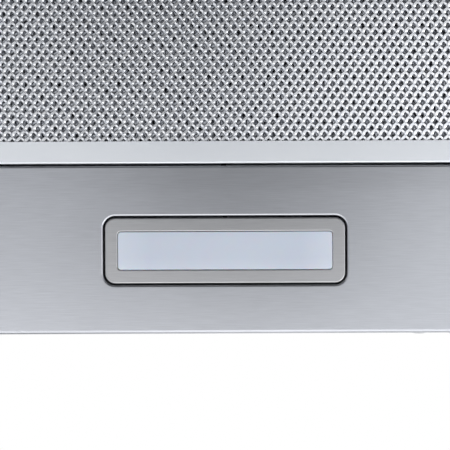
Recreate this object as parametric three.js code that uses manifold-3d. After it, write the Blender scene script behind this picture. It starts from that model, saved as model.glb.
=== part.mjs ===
// Slim under cabinet range hood of the 30 inch class, in millimetres.
// +X is the user's right, -Y the front edge, +Y the wall side and +Z up.
// The origin is the middle of the flat top that meets the cabinet.

import * as THREE from 'three';
import { mergeVertices } from 'three/addons/utils/BufferGeometryUtils.js';
import Module from 'manifold-3d';

const wasm = await Module();
wasm.setup();

// ---- Driving dimensions ----

const hood = { width: 750, rear: 150, front: -350, bottom: -130, slopeStart: -150, faceTop: -75 };
const sheet = 1;
const gap = 0.3;

const duct = { width: 254, depth: 82.5, y: 84, rise: 45, foot: -10.2 };
const lip = { y: -240, top: -118 };
const lamp = { x: 180, y: -295, width: 161, depth: 45.5, radius: 8, reveal: 1.3 };
const diffuser = { width: 141.5, depth: 24.8, radius: 2 };
const flange = 19.5;

const filter = {
  x: 179, width: 349, front: -237.4, rear: 122, bottom: -129, top: -120, wall: 0.8, border: 14.7,
  pivotY: -235.2, pivotZ: -126.5, pinRadius: 1.3,
};
const rearRail = { front: 124.7, rear: 148.7, rise: 17 };
const centreRail = 3.7;

const blower = { y: 65, z: -62, wheelRadius: 40, tongue: 46, rear: 59, wall: 1.2, inner: 45, outer: 125 };
const outlet = { front: 44, top: -12, tongueZ: -21 };
const shaftRadius = 4;

const button = { radius: 6.8, pitch: 24, count: 5, z: -102, proud: 2.3 };
const control = { width: 130, height: 26, thickness: 3 };
const damper = { y: 102, z: 12, pinRadius: 2 };
const box = { x: [-290, -190], y: [60, 146], z: [-46, -1.3], hole: [-240, 100] };

// ---- Finishes ----

const brushed = { color: 0xb4b7be, roughness: 0.36, metalness: 1 };
const bright = { color: 0xd6dbe2, roughness: 0.42, metalness: 1 };
const galvanised = { color: 0xa9adb0, roughness: 0.5, metalness: 1 };
const motorPaint = { color: 0x2b2c2f, roughness: 0.5, metalness: 0.3 };
const darkPlastic = { color: 0x1d1e20, roughness: 0.55, metalness: 0 };
const palePlastic = { color: 0xd9dad6, roughness: 0.5, metalness: 0 };
const frosted = { color: 0xd2dae2, roughness: 0.45, metalness: 0 };
const greenBoard = { color: 0xdfe3e0, roughness: 0.5, metalness: 0 };
const copper = { color: 0xb87345, roughness: 0.4, metalness: 1 };
const steel = { color: 0x9b9da1, roughness: 0.35, metalness: 1 };
const rubber = { color: 0x161617, roughness: 0.8, metalness: 0 };

// ---- Solids ----

// A closed three.js geometry as a solid, turned right side out if it winds inwards.
function solid(geometry) {
  const bare = geometry.clone();
  bare.deleteAttribute('normal');
  bare.deleteAttribute('uv');
  const merged = mergeVertices(bare);
  const points = merged.attributes.position.array;
  const corners = new Uint32Array(merged.index.array);
  let volume = 0;
  for (let i = 0; i < corners.length; i += 3) {
    const [a, b, c] = [0, 1, 2].map((k) => new THREE.Vector3().fromArray(points, 3 * corners[i + k]));
    volume += a.dot(b.cross(c));
  }
  if (volume < 0) {
    for (let i = 0; i < corners.length; i += 3) {
      [corners[i], corners[i + 1]] = [corners[i + 1], corners[i]];
    }
  }
  const vertProperties = new Float32Array(points);
  return new wasm.Manifold(new wasm.Mesh({ numProp: 3, vertProperties, triVerts: corners }));
}

const join = (first, ...others) => others.reduce((body, other) => body.add(other), first);
const cut = (first, ...tools) => tools.reduce((body, tool) => body.subtract(tool), first);

// A box from its limits along each axis.
function block([x0, x1], [y0, y1], [z0, z1]) {
  const geometry = new THREE.BoxGeometry(x1 - x0, y1 - y0, z1 - z0);
  return solid(geometry.translate((x0 + x1) / 2, (y0 + y1) / 2, (z0 + z1) / 2));
}

// A round rod along an axis, through a point given as the two other coordinates in order.
function rod(axis, radius, [from, to], [u, v], segments = 16) {
  const geometry = new THREE.CylinderGeometry(radius, radius, to - from, segments);
  const middle = (from + to) / 2;
  if (axis === 'x') return solid(geometry.rotateZ(-Math.PI / 2).translate(middle, u, v));
  if (axis === 'y') return solid(geometry.translate(u, middle, v));
  return solid(geometry.rotateX(Math.PI / 2).translate(u, v, middle));
}

// An outline in two of the axes, extruded along the third.
function extruded(axis, shape, [from, to], curveSegments = 3) {
  const geometry = new THREE.ExtrudeGeometry(shape, { depth: to - from, bevelEnabled: false, curveSegments });
  if (axis === 'x') {
    geometry.rotateX(Math.PI / 2).rotateZ(Math.PI / 2).translate(from, 0, 0);
  } else if (axis === 'y') {
    geometry.rotateX(Math.PI / 2).translate(0, to, 0);
  } else {
    geometry.translate(0, 0, from);
  }
  return solid(geometry);
}

// A profile of [radius, height] corners, turned once about Z and closed on itself.
function turned(profile, segments = 16) {
  const points = [...profile, profile[0]].map(([radius, height]) => new THREE.Vector2(radius, height));
  return solid(new THREE.LatheGeometry(points, segments).rotateX(Math.PI / 2));
}

function outline(points) {
  return new THREE.Shape(points.map(([u, v]) => new THREE.Vector2(u, v)));
}

function roundedRectangle(width, depth, radius, [u, v] = [0, 0]) {
  const [a, b] = [width / 2 - radius, depth / 2 - radius];
  const shape = new THREE.Shape();
  shape.absarc(u + a, v + b, radius, 0, Math.PI / 2);
  shape.absarc(u - a, v + b, radius, Math.PI / 2, Math.PI);
  shape.absarc(u - a, v - b, radius, Math.PI, 1.5 * Math.PI);
  shape.absarc(u + a, v - b, radius, 1.5 * Math.PI, 2 * Math.PI);
  shape.closePath();
  return shape;
}

// The outline of a bent strip: its centre line moved half a thickness to each side, mitred at the bends.
function strip(line, thickness) {
  const points = line.map(([u, v]) => new THREE.Vector2(u, v));
  const normal = (i) => {
    const along = points[i + 1].clone().sub(points[i]).normalize();
    return new THREE.Vector2(-along.y, along.x);
  };
  const last = points.length - 1;
  const side = (distance) => points.map((point, i) => {
    const before = normal(Math.max(i - 1, 0));
    const after = normal(Math.min(i, last - 1));
    const mitre = before.clone().add(after).divideScalar(1 + before.dot(after));
    return point.clone().add(mitre.multiplyScalar(distance));
  });
  return new THREE.Shape([...side(thickness / 2), ...side(-thickness / 2).reverse()]);
}

// A round lead along a smooth curve through its points.
function lead(radius, steps, points) {
  const path = new THREE.CatmullRomCurve3(points.map((p) => new THREE.Vector3(...p)), false, 'centripetal');
  const section = new THREE.Shape().absarc(0, 0, radius, 0, 2 * Math.PI);
  return solid(new THREE.ExtrudeGeometry(section, { steps, extrudePath: path, curveSegments: 4 }));
}

// A named mesh of one solid.
function piece(name, body, finish) {
  const cutMesh = body.getMesh();
  const geometry = new THREE.BufferGeometry();
  geometry.setAttribute('position', new THREE.BufferAttribute(new Float32Array(cutMesh.vertProperties), 3));
  geometry.setIndex(new THREE.BufferAttribute(new Uint32Array(cutMesh.triVerts), 1));
  geometry.computeVertexNormals();
  const mesh = new THREE.Mesh(geometry, new THREE.MeshStandardMaterial(finish));
  mesh.name = name;
  return mesh;
}

function group(children, [x, y, z] = [0, 0, 0]) {
  const set = new THREE.Group();
  set.add(...children);
  set.position.set(x, y, z);
  return set;
}

// ---- Shell ----

const half = hood.width / 2;
const slope = (hood.faceTop) / (hood.slopeStart - hood.front);
const slopeZ = (y) => (hood.slopeStart - y) * slope;
const sheetDrop = sheet * Math.hypot(1, slope);
const inside = half - sheet - gap;

// Flat top and slanted front in one bent sheet, with the duct hole, keyholes and a wiring hole.
function canopyTop() {
  const profile = outline([
    [hood.rear, 0],
    [hood.slopeStart, 0],
    [hood.front, hood.faceTop],
    [hood.front, hood.faceTop - sheetDrop],
    [hood.slopeStart + 0.2, -sheet],
    [hood.rear, -sheet],
  ]);
  const clear = 0.6;
  const hole = block(
    [-duct.width / 2 - clear, duct.width / 2 + clear],
    [duct.y - duct.depth / 2 - clear, duct.y + duct.depth / 2 + clear],
    [-3, 3],
  );
  const keyholes = [-300, 300].flatMap((x) => [-100, 105].map((y) => join(
    rod('z', 5, [-3, 3], [x, y], 12),
    block([x - 2.5, x + 2.5], [y, y + 13], [-3, 3]),
  )));
  const wiring = rod('z', 11, [-3, 3], box.hole, 20);
  return cut(extruded('x', profile, [-half, half]), hole, wiring, ...keyholes);
}

// One side panel with the bottom flange that borders the filters; side is -1 or 1.
function sidePanel(side) {
  const top = -sheet - gap;
  const low = hood.bottom + sheet + gap;
  const frontEdge = hood.front + sheet + gap;
  const under = (y) => slopeZ(y) - sheetDrop - gap;
  const shape = outline([
    [hood.rear, hood.bottom],
    [hood.rear, top],
    [hood.slopeStart, top],
    [frontEdge, under(frontEdge)],
    [frontEdge, low],
    [lip.y + sheet + gap, low],
    [lip.y + sheet + gap, hood.bottom],
  ]);
  const span = (a, b) => (side < 0 ? [-b, -a] : [a, b]);
  const panel = extruded('x', shape, span(half - sheet, half));
  const floor = block(
    span(half - sheet - flange, half - sheet / 2),
    [filter.front + 0.4, rearRail.front - gap],
    [hood.bottom, hood.bottom + sheet],
  );
  const bracketX = filter.x + filter.width / 2 + 1.1;
  const bracket = block(span(bracketX, bracketX + sheet), [-236.9, -229], [-129.5, -120]);
  const pinHole = rod('x', 1.7, span(bracketX - 2, bracketX + 3), [filter.pivotY, filter.pivotZ], 12);
  return cut(join(panel, floor, bracket), pinHole);
}

// Rear wall with the horizontal duct outlet, closed by a cover when the hood vents upwards.
const rearOutlet = { width: 254, low: -105, high: -22.5 };
function backPanel() {
  const wall = block([-inside, inside], [hood.rear - sheet, hood.rear], [hood.bottom, -sheet - gap]);
  const opening = block([-rearOutlet.width / 2, rearOutlet.width / 2], [140, 160], [rearOutlet.low, rearOutlet.high]);
  return cut(wall, opening);
}

function rearOutletCover() {
  const reach = 10;
  const y = hood.rear - sheet - gap;
  return block(
    [-rearOutlet.width / 2 - reach, rearOutlet.width / 2 + reach],
    [y - sheet, y],
    [rearOutlet.low - 4, rearOutlet.high + 4],
  );
}

// Front face and underside light panel in one bent sheet, ending in an upturned lip at the filters.
function frontPanel() {
  const [front, low] = [hood.front + sheet / 2, hood.bottom + sheet / 2];
  const profile = strip([
    [front, hood.faceTop - sheetDrop - gap],
    [front, low],
    [lip.y + sheet / 2, low],
    [lip.y + sheet / 2, lip.top],
  ], sheet);
  const window = block(
    [-control.width / 2 - gap, control.width / 2 + gap],
    [hood.front - 5, hood.front + 5],
    [button.z - control.height / 2 - gap, button.z + control.height / 2 + gap],
  );
  const rim = { height: 5, thickness: 1 };
  const at = (x) => [x, lamp.y];
  const rims = [-lamp.x, lamp.x].map((x) => extruded(
    'z',
    roundedRectangle(
      lamp.width + 2 * rim.thickness, lamp.depth + 2 * rim.thickness, lamp.radius + rim.thickness, at(x),
    ),
    [hood.bottom, hood.bottom + rim.height],
  ));
  const holes = [-lamp.x, lamp.x].map((x) => extruded(
    'z', roundedRectangle(lamp.width, lamp.depth, lamp.radius, at(x)), [hood.bottom - 5, hood.bottom + 10],
  ));
  const lipEnds = [[-half - 1, -inside], [inside, half + 1]].map((span) => block(
    span, [lip.y - 1, lip.y + sheet + 1], [hood.bottom + sheet + 0.05, lip.top + 1],
  ));
  return cut(join(extruded('x', profile, [-half, half]), ...rims), window, ...holes, ...lipEnds);
}

// Angle at the back of the filters, with a notch for each latch keeper.
function rearFilterRail() {
  const ledge = block([-inside, inside], [rearRail.front, rearRail.rear], [hood.bottom, hood.bottom + sheet]);
  const wall = block(
    [-inside, inside], [rearRail.rear - sheet, rearRail.rear], [hood.bottom, hood.bottom + rearRail.rise],
  );
  const notches = [-filter.x, filter.x].map((x) => block(
    [x - 14, x + 14], [rearRail.front - 1, 133], [hood.bottom - 1, hood.bottom + 3],
  ));
  return cut(join(ledge, wall), ...notches);
}

// Leaf spring riveted on the rear rail; its tip carries the latch bolt and gives way as it snaps past.
function latchKeeper() {
  const leaf = strip([
    [125.4, hood.bottom - 0.3],
    [129.4, hood.bottom + 0.5],
    [132.2, hood.bottom + sheet + 0.7],
    [146, hood.bottom + sheet + 0.7],
  ], 0.6);
  return extruded('x', leaf, [-12, 12]);
}

// Upside down channel between the two filters; its webs hold their inner pivot pins.
function centreFilterRail() {
  const [front, rear] = [lip.y + sheet + gap, rearRail.front - gap];
  const bar = block([-centreRail, centreRail], [front, rear], [hood.bottom, hood.bottom + 12]);
  const hollow = block([-centreRail + sheet, centreRail - sheet], [front - 1, rear + 1], [hood.bottom + sheet, -100]);
  const pinHole = rod('x', 1.7, [-10, 10], [filter.pivotY, filter.pivotZ], 12);
  return cut(bar, hollow, pinHole);
}

// ---- Filters ----

// Folded channel frame, open inwards, with a pivot pin at each front corner and slots for the latch.
function filterFrame() {
  const [w, t] = [filter.width / 2, filter.wall];
  const body = block([-w, w], [filter.front, filter.rear], [filter.bottom, filter.top]);
  const hollow = block(
    [-w + t, w - t], [filter.front + t, filter.rear - t], [filter.bottom + t, filter.top - t],
  );
  const window = block(
    [-w + filter.border, w - filter.border],
    [filter.front + filter.border, filter.rear - filter.border],
    [filter.bottom - 1, filter.top + 1],
  );
  const boltSlot = block([-10.6, 10.6], [filter.rear - 3, filter.rear + 1], [-128.1, -126]);
  const pullSlot = block([-8.7, 8.7], [108.7, 118.7], [filter.bottom - 1, filter.bottom + t + 0.1]);
  const pins = [[-w - 3.3, -w + 4], [w - 4, w + 3.3]].map(
    (span) => rod('x', filter.pinRadius, span, [filter.pivotY, filter.pivotZ], 12),
  );
  return join(cut(body, hollow, window, boltSlot, pullSlot), ...pins);
}

// A flat pack that fills the frame at one height, notched at the back for the latch.
function filterLayer([low, high]) {
  const tuck = filter.border - 8;
  const pack = block(
    [-filter.width / 2 + tuck, filter.width / 2 - tuck],
    [filter.front + tuck, filter.rear - tuck],
    [low, high],
  );
  return cut(pack, block([-30, 30], [107.6, 130], [-140, -100]));
}

// Flat bolt with shoulders inside the frame and a bent finger pull below it.
function filterLatch() {
  const bolt = block([-10, 10], [114.2, 130], [-127.8, -126.3]);
  const shoulders = block([-24, 24], [117.4, filter.rear - filter.wall - gap], [-127.8, -126.3]);
  const pull = extruded('x', strip([[116.8, -126.6], [116.8, -135.2], [112.6, -135.9]], 1.4), [-8, 8]);
  return join(bolt, shoulders, pull);
}

function filterPieces(side) {
  return group([
    piece(`${side}_filter_frame`, filterFrame(), bright),
    piece(`${side}_filter_mesh`, filterLayer([-127.9, -126.9]), bright),
    piece(`${side}_filter_core`, filterLayer([-125, -122.5]), bright),
    piece(`${side}_filter_latch`, filterLatch(), steel),
    piece(`${side}_latch_keeper`, latchKeeper(), steel),
  ], [side === 'left' ? -filter.x : filter.x, 0, 0]);
}

// ---- Duct ----

// Rectangular collar with a flange under the top sheet and two stops for the flap.
function ductCollar() {
  const [w, d] = [duct.width / 2, duct.depth / 2];
  const wide = 15;
  const tube = block([-w, w], [duct.y - d, duct.y + d], [duct.foot, duct.rise]);
  const rim = block(
    [-w - wide, w + wide], [duct.y - d - wide, duct.y + d + wide], [-2 * sheet - gap, -sheet - gap],
  );
  const bore = block(
    [-w + sheet, w - sheet], [duct.y - d + sheet, duct.y + d - sheet], [duct.foot - 1, duct.rise + 1],
  );
  const stops = [-60, 60].map((x) => block(
    [x - 6, x + 6], [duct.y - d + sheet / 2, duct.y - d + 5], [5, 8.6],
  ));
  const pinHole = rod('x', damper.pinRadius + 0.4, [-w - 5, w + 5], [damper.y, damper.z], 12);
  return cut(join(cut(join(tube, rim), bore), ...stops), pinHole);
}

// Plate that joins the two scroll outlets to the collar.
function outletDeck() {
  const d = duct.depth / 2;
  const plate = block([-132, 132], [duct.y - d - 4, duct.y + d + 4], [duct.foot - gap - 1.2, duct.foot - gap]);
  const mouths = [-1, 1].map((side) => {
    const middle = side * (blower.inner + blower.outer) / 2;
    return block([middle - 38.8, middle + 38.8], [outlet.front + 1.2, blower.y + blower.rear - 1.2], [-20, 0]);
  });
  return cut(plate, ...mouths);
}

// Flap with three saddles over its pin; shut, it lies on the collar's stops.
function damperFlap() {
  const plate = block([-125.2, 125.2], [damper.y - 57, damper.y + 21], [damper.z - 3, damper.z - 2.3]);
  const saddles = [-80, 0, 80].map((x) => {
    const ring = turned([[2.3, -5], [3.4, -5], [3.4, 5], [2.3, 5]], 12);
    return ring.rotate([0, 90, 0]).translate([x, damper.y, damper.z]);
  });
  const pinRoom = rod('x', damper.pinRadius + gap, [-130, 130], [damper.y, damper.z], 12);
  return cut(join(plate, ...saddles), pinRoom);
}

// ---- Blower ----

// Volute outline in (y, z), moved inwards by an inset; the wheel throws the air up its rear wall.
function volute(inset, top) {
  const start = Math.atan2(outlet.tongueZ - blower.z, outlet.front - blower.y);
  const points = [[outlet.front + inset, top]];
  const steps = 18;
  for (let i = 0; i <= steps; i += 1) {
    const turn = i / steps;
    const angle = start + (2 * Math.PI - start) * turn;
    const radius = blower.tongue + (blower.rear - blower.tongue) * turn - inset;
    const y = blower.y + radius * Math.cos(angle);
    points.push([i === 0 ? outlet.front + inset : y, blower.z + radius * Math.sin(angle)]);
  }
  points.push([blower.y + blower.rear - inset, top]);
  return outline(points);
}

// One scroll housing from |x| = inner to outer, open at the outlet and at both inlets.
function scrollHousing(side) {
  const span = (a, b) => (side < 0 ? [-b, -a] : [a, b]);
  const shell = extruded('x', volute(0, outlet.top), span(blower.inner, blower.outer));
  const air = extruded('x', volute(blower.wall, outlet.top + 1), span(blower.inner + blower.wall, blower.outer - blower.wall));
  const axis = [blower.y, blower.z];
  const outerInlet = rod('x', 33, span(blower.outer - 3, blower.outer + 3), axis, 24);
  const innerInlet = rod('x', 30, span(blower.inner - 3, blower.inner + 3), axis, 24);
  return cut(shell, air, outerInlet, innerInlet);
}

// Squirrel cage wheel about Z: hub, centre disc, forward curved blades and two end rings.
function impeller() {
  const length = 35;
  const bore = shaftRadius + gap;
  const hub = turned([[bore, -13], [8, -13], [8, 13], [bore, 13]], 12);
  const [inner, outer, sides] = [32, blower.wheelRadius, 20];
  const disc = turned([[7, -0.8], [outer, -0.8], [outer, 0.8], [7, 0.8]], sides);
  const ring = (z) => turned([[inner, z - 1], [outer, z - 1], [outer, z + 1], [inner, z + 1]], sides);
  const blades = [];
  const count = 14;
  for (let i = 0; i < count; i += 1) {
    const blade = block([-0.6, 0.6], [-3.6, 3.6], [-length + 1, length - 1]);
    blades.push(blade.rotate([0, 0, 35]).translate([0, 36, 0]).rotate([0, 0, (360 * i) / count]));
  }
  return join(hub, disc, ring(-length + 1), ring(length - 1), ...blades);
}

// One half of the motor can about Z, closed at its far end with a pocket for the bearing.
const motorCan = () => turned([
  [4.6, 40], [36, 40], [36, 0.15], [34.3, 0.15], [34.3, 38.5], [11, 38.5], [11, 29.5], [9.4, 29.5],
  [9.4, 38.5], [4.6, 38.5],
], 20);

const bearing = () => turned([[shaftRadius + gap, -3.5], [9.1, -3.5], [9.1, 3.5], [shaftRadius + gap, 3.5]], 16);
const stator = () => turned([
  [22, -15], [23.5, -21], [31, -21], [33, -13], [34, -13], [34, 13], [33, 13], [31, 21], [23.5, 21], [22, 15],
], 20);
const rotorCore = () => turned([[shaftRadius + gap, -16], [21.4, -16], [21.4, 16], [shaftRadius + gap, 16]], 20);

// Strap under the motor, from a foot on the top sheet to one on the rear cover.
function motorBracket() {
  const [radius, steps] = [37.6, 10];
  const line = [[9, -2.4], [26.4, -2.4], [27.4, blower.z]];
  for (let i = 1; i <= steps; i += 1) {
    const angle = Math.PI * (1 + i / steps);
    line.push([blower.y + radius * Math.cos(angle), blower.z + radius * Math.sin(angle)]);
  }
  line.push([146.2, blower.z], [146.2, blower.z + 22]);
  return extruded('x', strip(line, 1.5), [-12, 12]);
}

// A piece made about Z, laid along X on the blower's axis at a place along it; -1 turns it end for end.
function onAxis(mesh, x = 0, facing = 1) {
  mesh.rotation.y = (facing * Math.PI) / 2;
  mesh.position.set(x, blower.y, blower.z);
  return mesh;
}

function blowerPieces() {
  const wheelX = (blower.inner + blower.outer) / 2;
  const shaft = rod('z', shaftRadius, [-97.5, 97.5], [0, 0], 14);
  return [
    piece('left_scroll_housing', scrollHousing(-1), galvanised),
    piece('right_scroll_housing', scrollHousing(1), galvanised),
    onAxis(piece('left_impeller', impeller(), galvanised), -wheelX),
    onAxis(piece('right_impeller', impeller(), galvanised), wheelX),
    onAxis(piece('motor_can_left', motorCan(), motorPaint), 0, -1),
    onAxis(piece('motor_can_right', motorCan(), motorPaint)),
    onAxis(piece('motor_stator', stator(), copper)),
    onAxis(piece('motor_rotor', rotorCore(), steel)),
    onAxis(piece('motor_shaft', shaft, steel)),
    onAxis(piece('left_bearing', bearing(), steel), -33.8),
    onAxis(piece('right_bearing', bearing(), steel), 33.8),
    piece('motor_bracket', motorBracket(), galvanised),
    piece('run_capacitor', rod('x', 13, [150, 190], [133, -24], 18), darkPlastic),
  ];
}

// ---- Lights ----

const module = {
  plate: 2.5, window: diffuser.width + 2 * gap, windowDepth: diffuser.depth + 2 * gap,
  panWidth: 152, panDepth: 37, panTop: 18, wall: 1.5,
};

// Bezel plate about the lamp's centre, its lower face level with the light panel.
function lampBezel() {
  const inset = 2 * lamp.reveal;
  const plate = extruded(
    'z', roundedRectangle(lamp.width - inset, lamp.depth - inset, lamp.radius - lamp.reveal), [0, module.plate],
  );
  const window = roundedRectangle(module.window, module.windowDepth, diffuser.radius + gap);
  return cut(plate, extruded('z', window, [-1, 5]));
}

// Frosted pane: the part in the window, and the flange that holds it behind the bezel.
function lampDiffuser() {
  const pane = extruded('z', roundedRectangle(diffuser.width, diffuser.depth, diffuser.radius), [-0.2, 3.5]);
  return join(pane, block([-73.5, 73.5], [-15.5, 15.5], [module.plate + gap, 3.9]));
}

// Pan over the diffuser, open below.
function lampHousing() {
  const [w, d] = [module.panWidth / 2, module.panDepth / 2];
  const pan = block([-w, w], [-d, d], [module.plate + gap, module.panTop]);
  const t = module.wall;
  return cut(pan, block([-w + t, w - t], [-d + t, d - t], [0, module.panTop - t]));
}

// Light board with a row of emitters on its lower side.
function lampBoard() {
  const board = block([-71, 71], [-13, 13], [9.6, 11.2]);
  const emitters = [];
  for (let i = 0; i < 12; i += 1) {
    const x = -60.5 + 11 * i;
    emitters.push(block([x - 1.8, x + 1.8], [-1.8, 1.8], [8.8, 9.8]));
  }
  return join(board, ...emitters);
}

function lampPieces(side) {
  return group([
    piece(`${side}_lamp_bezel`, lampBezel(), brushed),
    piece(`${side}_lamp_diffuser`, lampDiffuser(), frosted),
    piece(`${side}_lamp_board`, lampBoard(), greenBoard),
    piece(`${side}_lamp_housing`, lampHousing(), galvanised),
  ], [side === 'left' ? -lamp.x : lamp.x, lamp.y, hood.bottom]);
}

// ---- Controls ----

const buttonPlaces = Array.from({ length: button.count }, (_, i) => (i - (button.count - 1) / 2) * button.pitch);

function controlPlate() {
  const shape = roundedRectangle(control.width, control.height, 3, [0, button.z]);
  const plate = extruded('y', shape, [hood.front - 1, hood.front - 1 + control.thickness]);
  const holes = buttonPlaces.map((x) => rod('y', button.radius + 0.4, [hood.front - 5, hood.front + 5], [x, button.z], 18));
  return cut(plate, ...holes);
}

// Push button about Z, pressed towards +Z: domed cap, retaining flange and plunger.
const pushButton = () => turned([
  [0, 0], [4, 0.25], [6, 0.8], [button.radius, 1.7], [button.radius, 4.8], [7.8, 4.8], [7.8, 6.2], [3, 6.2],
  [3, 19.3], [0, 19.3],
], 14);

// Switch block behind the buttons, on two posts from the front face.
function switchBank() {
  const back = hood.front + 14;
  const body = block([-64, 64], [back, back + 20], [button.z - 11, button.z + 11]);
  const posts = [-71, 71].map((x) => block([x - 3, x + 3], [hood.front + sheet + gap, back + 8], [button.z - 6, button.z + 6]));
  const arms = block([-74, 74], [back + 3, back + 8], [button.z - 6, button.z + 6]);
  const sockets = buttonPlaces.map((x) => rod('y', 3.6, [back - 1, back + 9], [x, button.z], 12));
  return cut(join(body, arms, ...posts), ...sockets);
}

function controlPieces() {
  const buttons = buttonPlaces.map((x, i) => {
    const mesh = piece(`push_button_${i + 1}`, pushButton(), bright);
    mesh.rotation.x = -Math.PI / 2;
    mesh.position.set(x, hood.front - button.proud, button.z);
    return mesh;
  });
  return [
    piece('control_plate', controlPlate(), darkPlastic),
    piece('switch_bank', switchBank(), palePlastic),
    ...buttons,
  ];
}

// ---- Wiring ----

function junctionBox() {
  const [x, y, z] = [box.x, box.y, box.z];
  const body = block(x, y, z);
  const hollow = block([x[0] + 1, x[1] - 1], [y[0] + 1, y[1] - 1], [z[0] - 1, z[1] - 1]);
  const wiring = rod('z', 11, [z[1] - 5, z[1] + 5], box.hole, 20);
  const exit = rod('x', 4.5, [x[1] - 5, x[1] + 5], [80, -30], 12);
  return cut(body, hollow, wiring, exit);
}

function junctionCover() {
  return block([box.x[0] - 2, box.x[1] + 2], [box.y[0] - 2, box.y[1] + 2], [box.z[0] - 1.3, box.z[0] - gap]);
}

function terminalBlock() {
  const body = block([-272, -208], [108, 128], [-44, -28]);
  const slots = [-261, -250.5, -240, -229.5, -219].map((x) => block([x - 3.5, x + 3.5], [104, 112], [-40, -33]));
  return cut(body, ...slots);
}

// Snap-in bushing in the wiring hole, level with the top sheet.
function cableBushing() {
  const [x, y] = box.hole;
  return turned([[8, -5], [14, -5], [14, -2.7], [10.6, -2.7], [10.6, -0.3], [8, -0.3]], 20).translate([x, y, 0]);
}

function ledDriver() {
  const body = block([205, 285], [60, 105], [-28, -1.4]);
  return join(body, block([196, 294], [70, 95], [-4, -1.4]));
}

const lampTop = hood.bottom + module.panTop + 0.4;

const motorLead = () => lead(2.4, 18, [
  [-197, 80, -30], [-175, 76, -30], [-150, 40, -24], [-120, 6, -16], [-60, 2, -14], [-28, 6, -22],
  [-25, 14, -32.4], [-25, 32.6, -43.2],
]);

const rightLampLead = () => lead(1.8, 16, [
  [215, 59.6, -16], [215, 50, -16], [200, -20, -14], [185, -120, -16], [182, -200, -38],
  [180, -262, -64], [180, -290, -90], [180, -295, lampTop],
]);

const leftLampLead = () => lead(1.8, 24, [
  [204.6, 80, -18], [198, 80, -18], [160, 30, -12], [100, -4, -11], [0, -16, -11], [-110, -30, -12],
  [-160, -100, -16], [-176, -190, -36], [-180, -262, -64], [-180, -290, -90], [-180, -295, lampTop],
]);

// ---- Assembly ----

const shell = group([
  piece('canopy_top', canopyTop(), brushed),
  piece('left_side_panel', sidePanel(-1), brushed),
  piece('right_side_panel', sidePanel(1), brushed),
  piece('back_panel', backPanel(), brushed),
  piece('rear_outlet_cover', rearOutletCover(), galvanised),
  piece('front_panel', frontPanel(), brushed),
  piece('rear_filter_rail', rearFilterRail(), brushed),
  piece('centre_filter_rail', centreFilterRail(), brushed),
]);

const ducting = group([
  piece('duct_collar', ductCollar(), galvanised),
  piece('outlet_deck', outletDeck(), galvanised),
  piece('damper_flap', damperFlap(), galvanised),
  piece('damper_pin', rod('x', damper.pinRadius, [-127.4, 127.4], [damper.y, damper.z], 12), steel),
]);

const wiring = group([
  piece('junction_box', junctionBox(), galvanised),
  piece('junction_cover', junctionCover(), galvanised),
  piece('terminal_block', terminalBlock(), palePlastic),
  piece('cable_bushing', cableBushing(), darkPlastic),
  piece('led_driver', ledDriver(), palePlastic),
  piece('motor_lead', motorLead(), rubber),
  piece('right_lamp_lead', rightLampLead(), rubber),
  piece('left_lamp_lead', leftLampLead(), rubber),
]);

export default group([
  shell,
  filterPieces('left'),
  filterPieces('right'),
  ducting,
  group(blowerPieces()),
  lampPieces('left'),
  lampPieces('right'),
  group(controlPieces()),
  wiring,
]);
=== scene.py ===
# A slim stainless under cabinet range hood, seen from below at its light panel.
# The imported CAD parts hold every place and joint; the finished sheet metal, mesh and fittings
# are worked out here on top of them, in metres, +X right, -Y the front edge, +Z up.
import math

import bpy
import numpy as np
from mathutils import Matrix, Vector
from mathutils.geometry import delaunay_2d_cdt


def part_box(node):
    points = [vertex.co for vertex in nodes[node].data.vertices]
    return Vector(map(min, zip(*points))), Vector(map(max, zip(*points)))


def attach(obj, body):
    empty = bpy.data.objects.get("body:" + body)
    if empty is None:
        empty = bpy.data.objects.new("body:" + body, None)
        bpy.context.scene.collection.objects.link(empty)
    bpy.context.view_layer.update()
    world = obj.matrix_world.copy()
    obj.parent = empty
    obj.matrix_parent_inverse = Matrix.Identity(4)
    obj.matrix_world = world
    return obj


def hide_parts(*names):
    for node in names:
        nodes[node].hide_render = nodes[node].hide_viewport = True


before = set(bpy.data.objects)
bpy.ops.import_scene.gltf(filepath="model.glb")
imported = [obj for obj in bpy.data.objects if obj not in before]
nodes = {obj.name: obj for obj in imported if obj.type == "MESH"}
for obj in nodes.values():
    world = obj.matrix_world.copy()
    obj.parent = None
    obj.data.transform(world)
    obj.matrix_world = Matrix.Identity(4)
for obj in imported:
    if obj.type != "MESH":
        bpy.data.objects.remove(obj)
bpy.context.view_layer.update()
MM = 0.001


# --- Camera -----------------------------------------------
# Looks straight up at one lamp and the edge of its grease filter, front of the hood down.
FIELD = 297 * MM
CAMERA_DISTANCE = 0.8
ROLL = math.radians(0.24)


def box(name):
    """Lowest and highest corner of a CAD part."""
    return [np.array(corner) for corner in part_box(name)]


lamp_low, lamp_high = box("right_lamp_bezel")
lamp_middle = (lamp_low + lamp_high) / 2

camera_data = bpy.data.cameras.new("camera")
camera = bpy.data.objects.new("camera", camera_data)
bpy.context.collection.objects.link(camera)
camera_data.sensor_width = 36
camera_data.lens = camera_data.sensor_width * CAMERA_DISTANCE / FIELD
camera.location = (lamp_middle[0], lamp_middle[1] + 16.8 * MM, lamp_low[2] - CAMERA_DISTANCE)
camera.rotation_euler = (0, math.pi, ROLL)
bpy.context.scene.camera = camera


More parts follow.
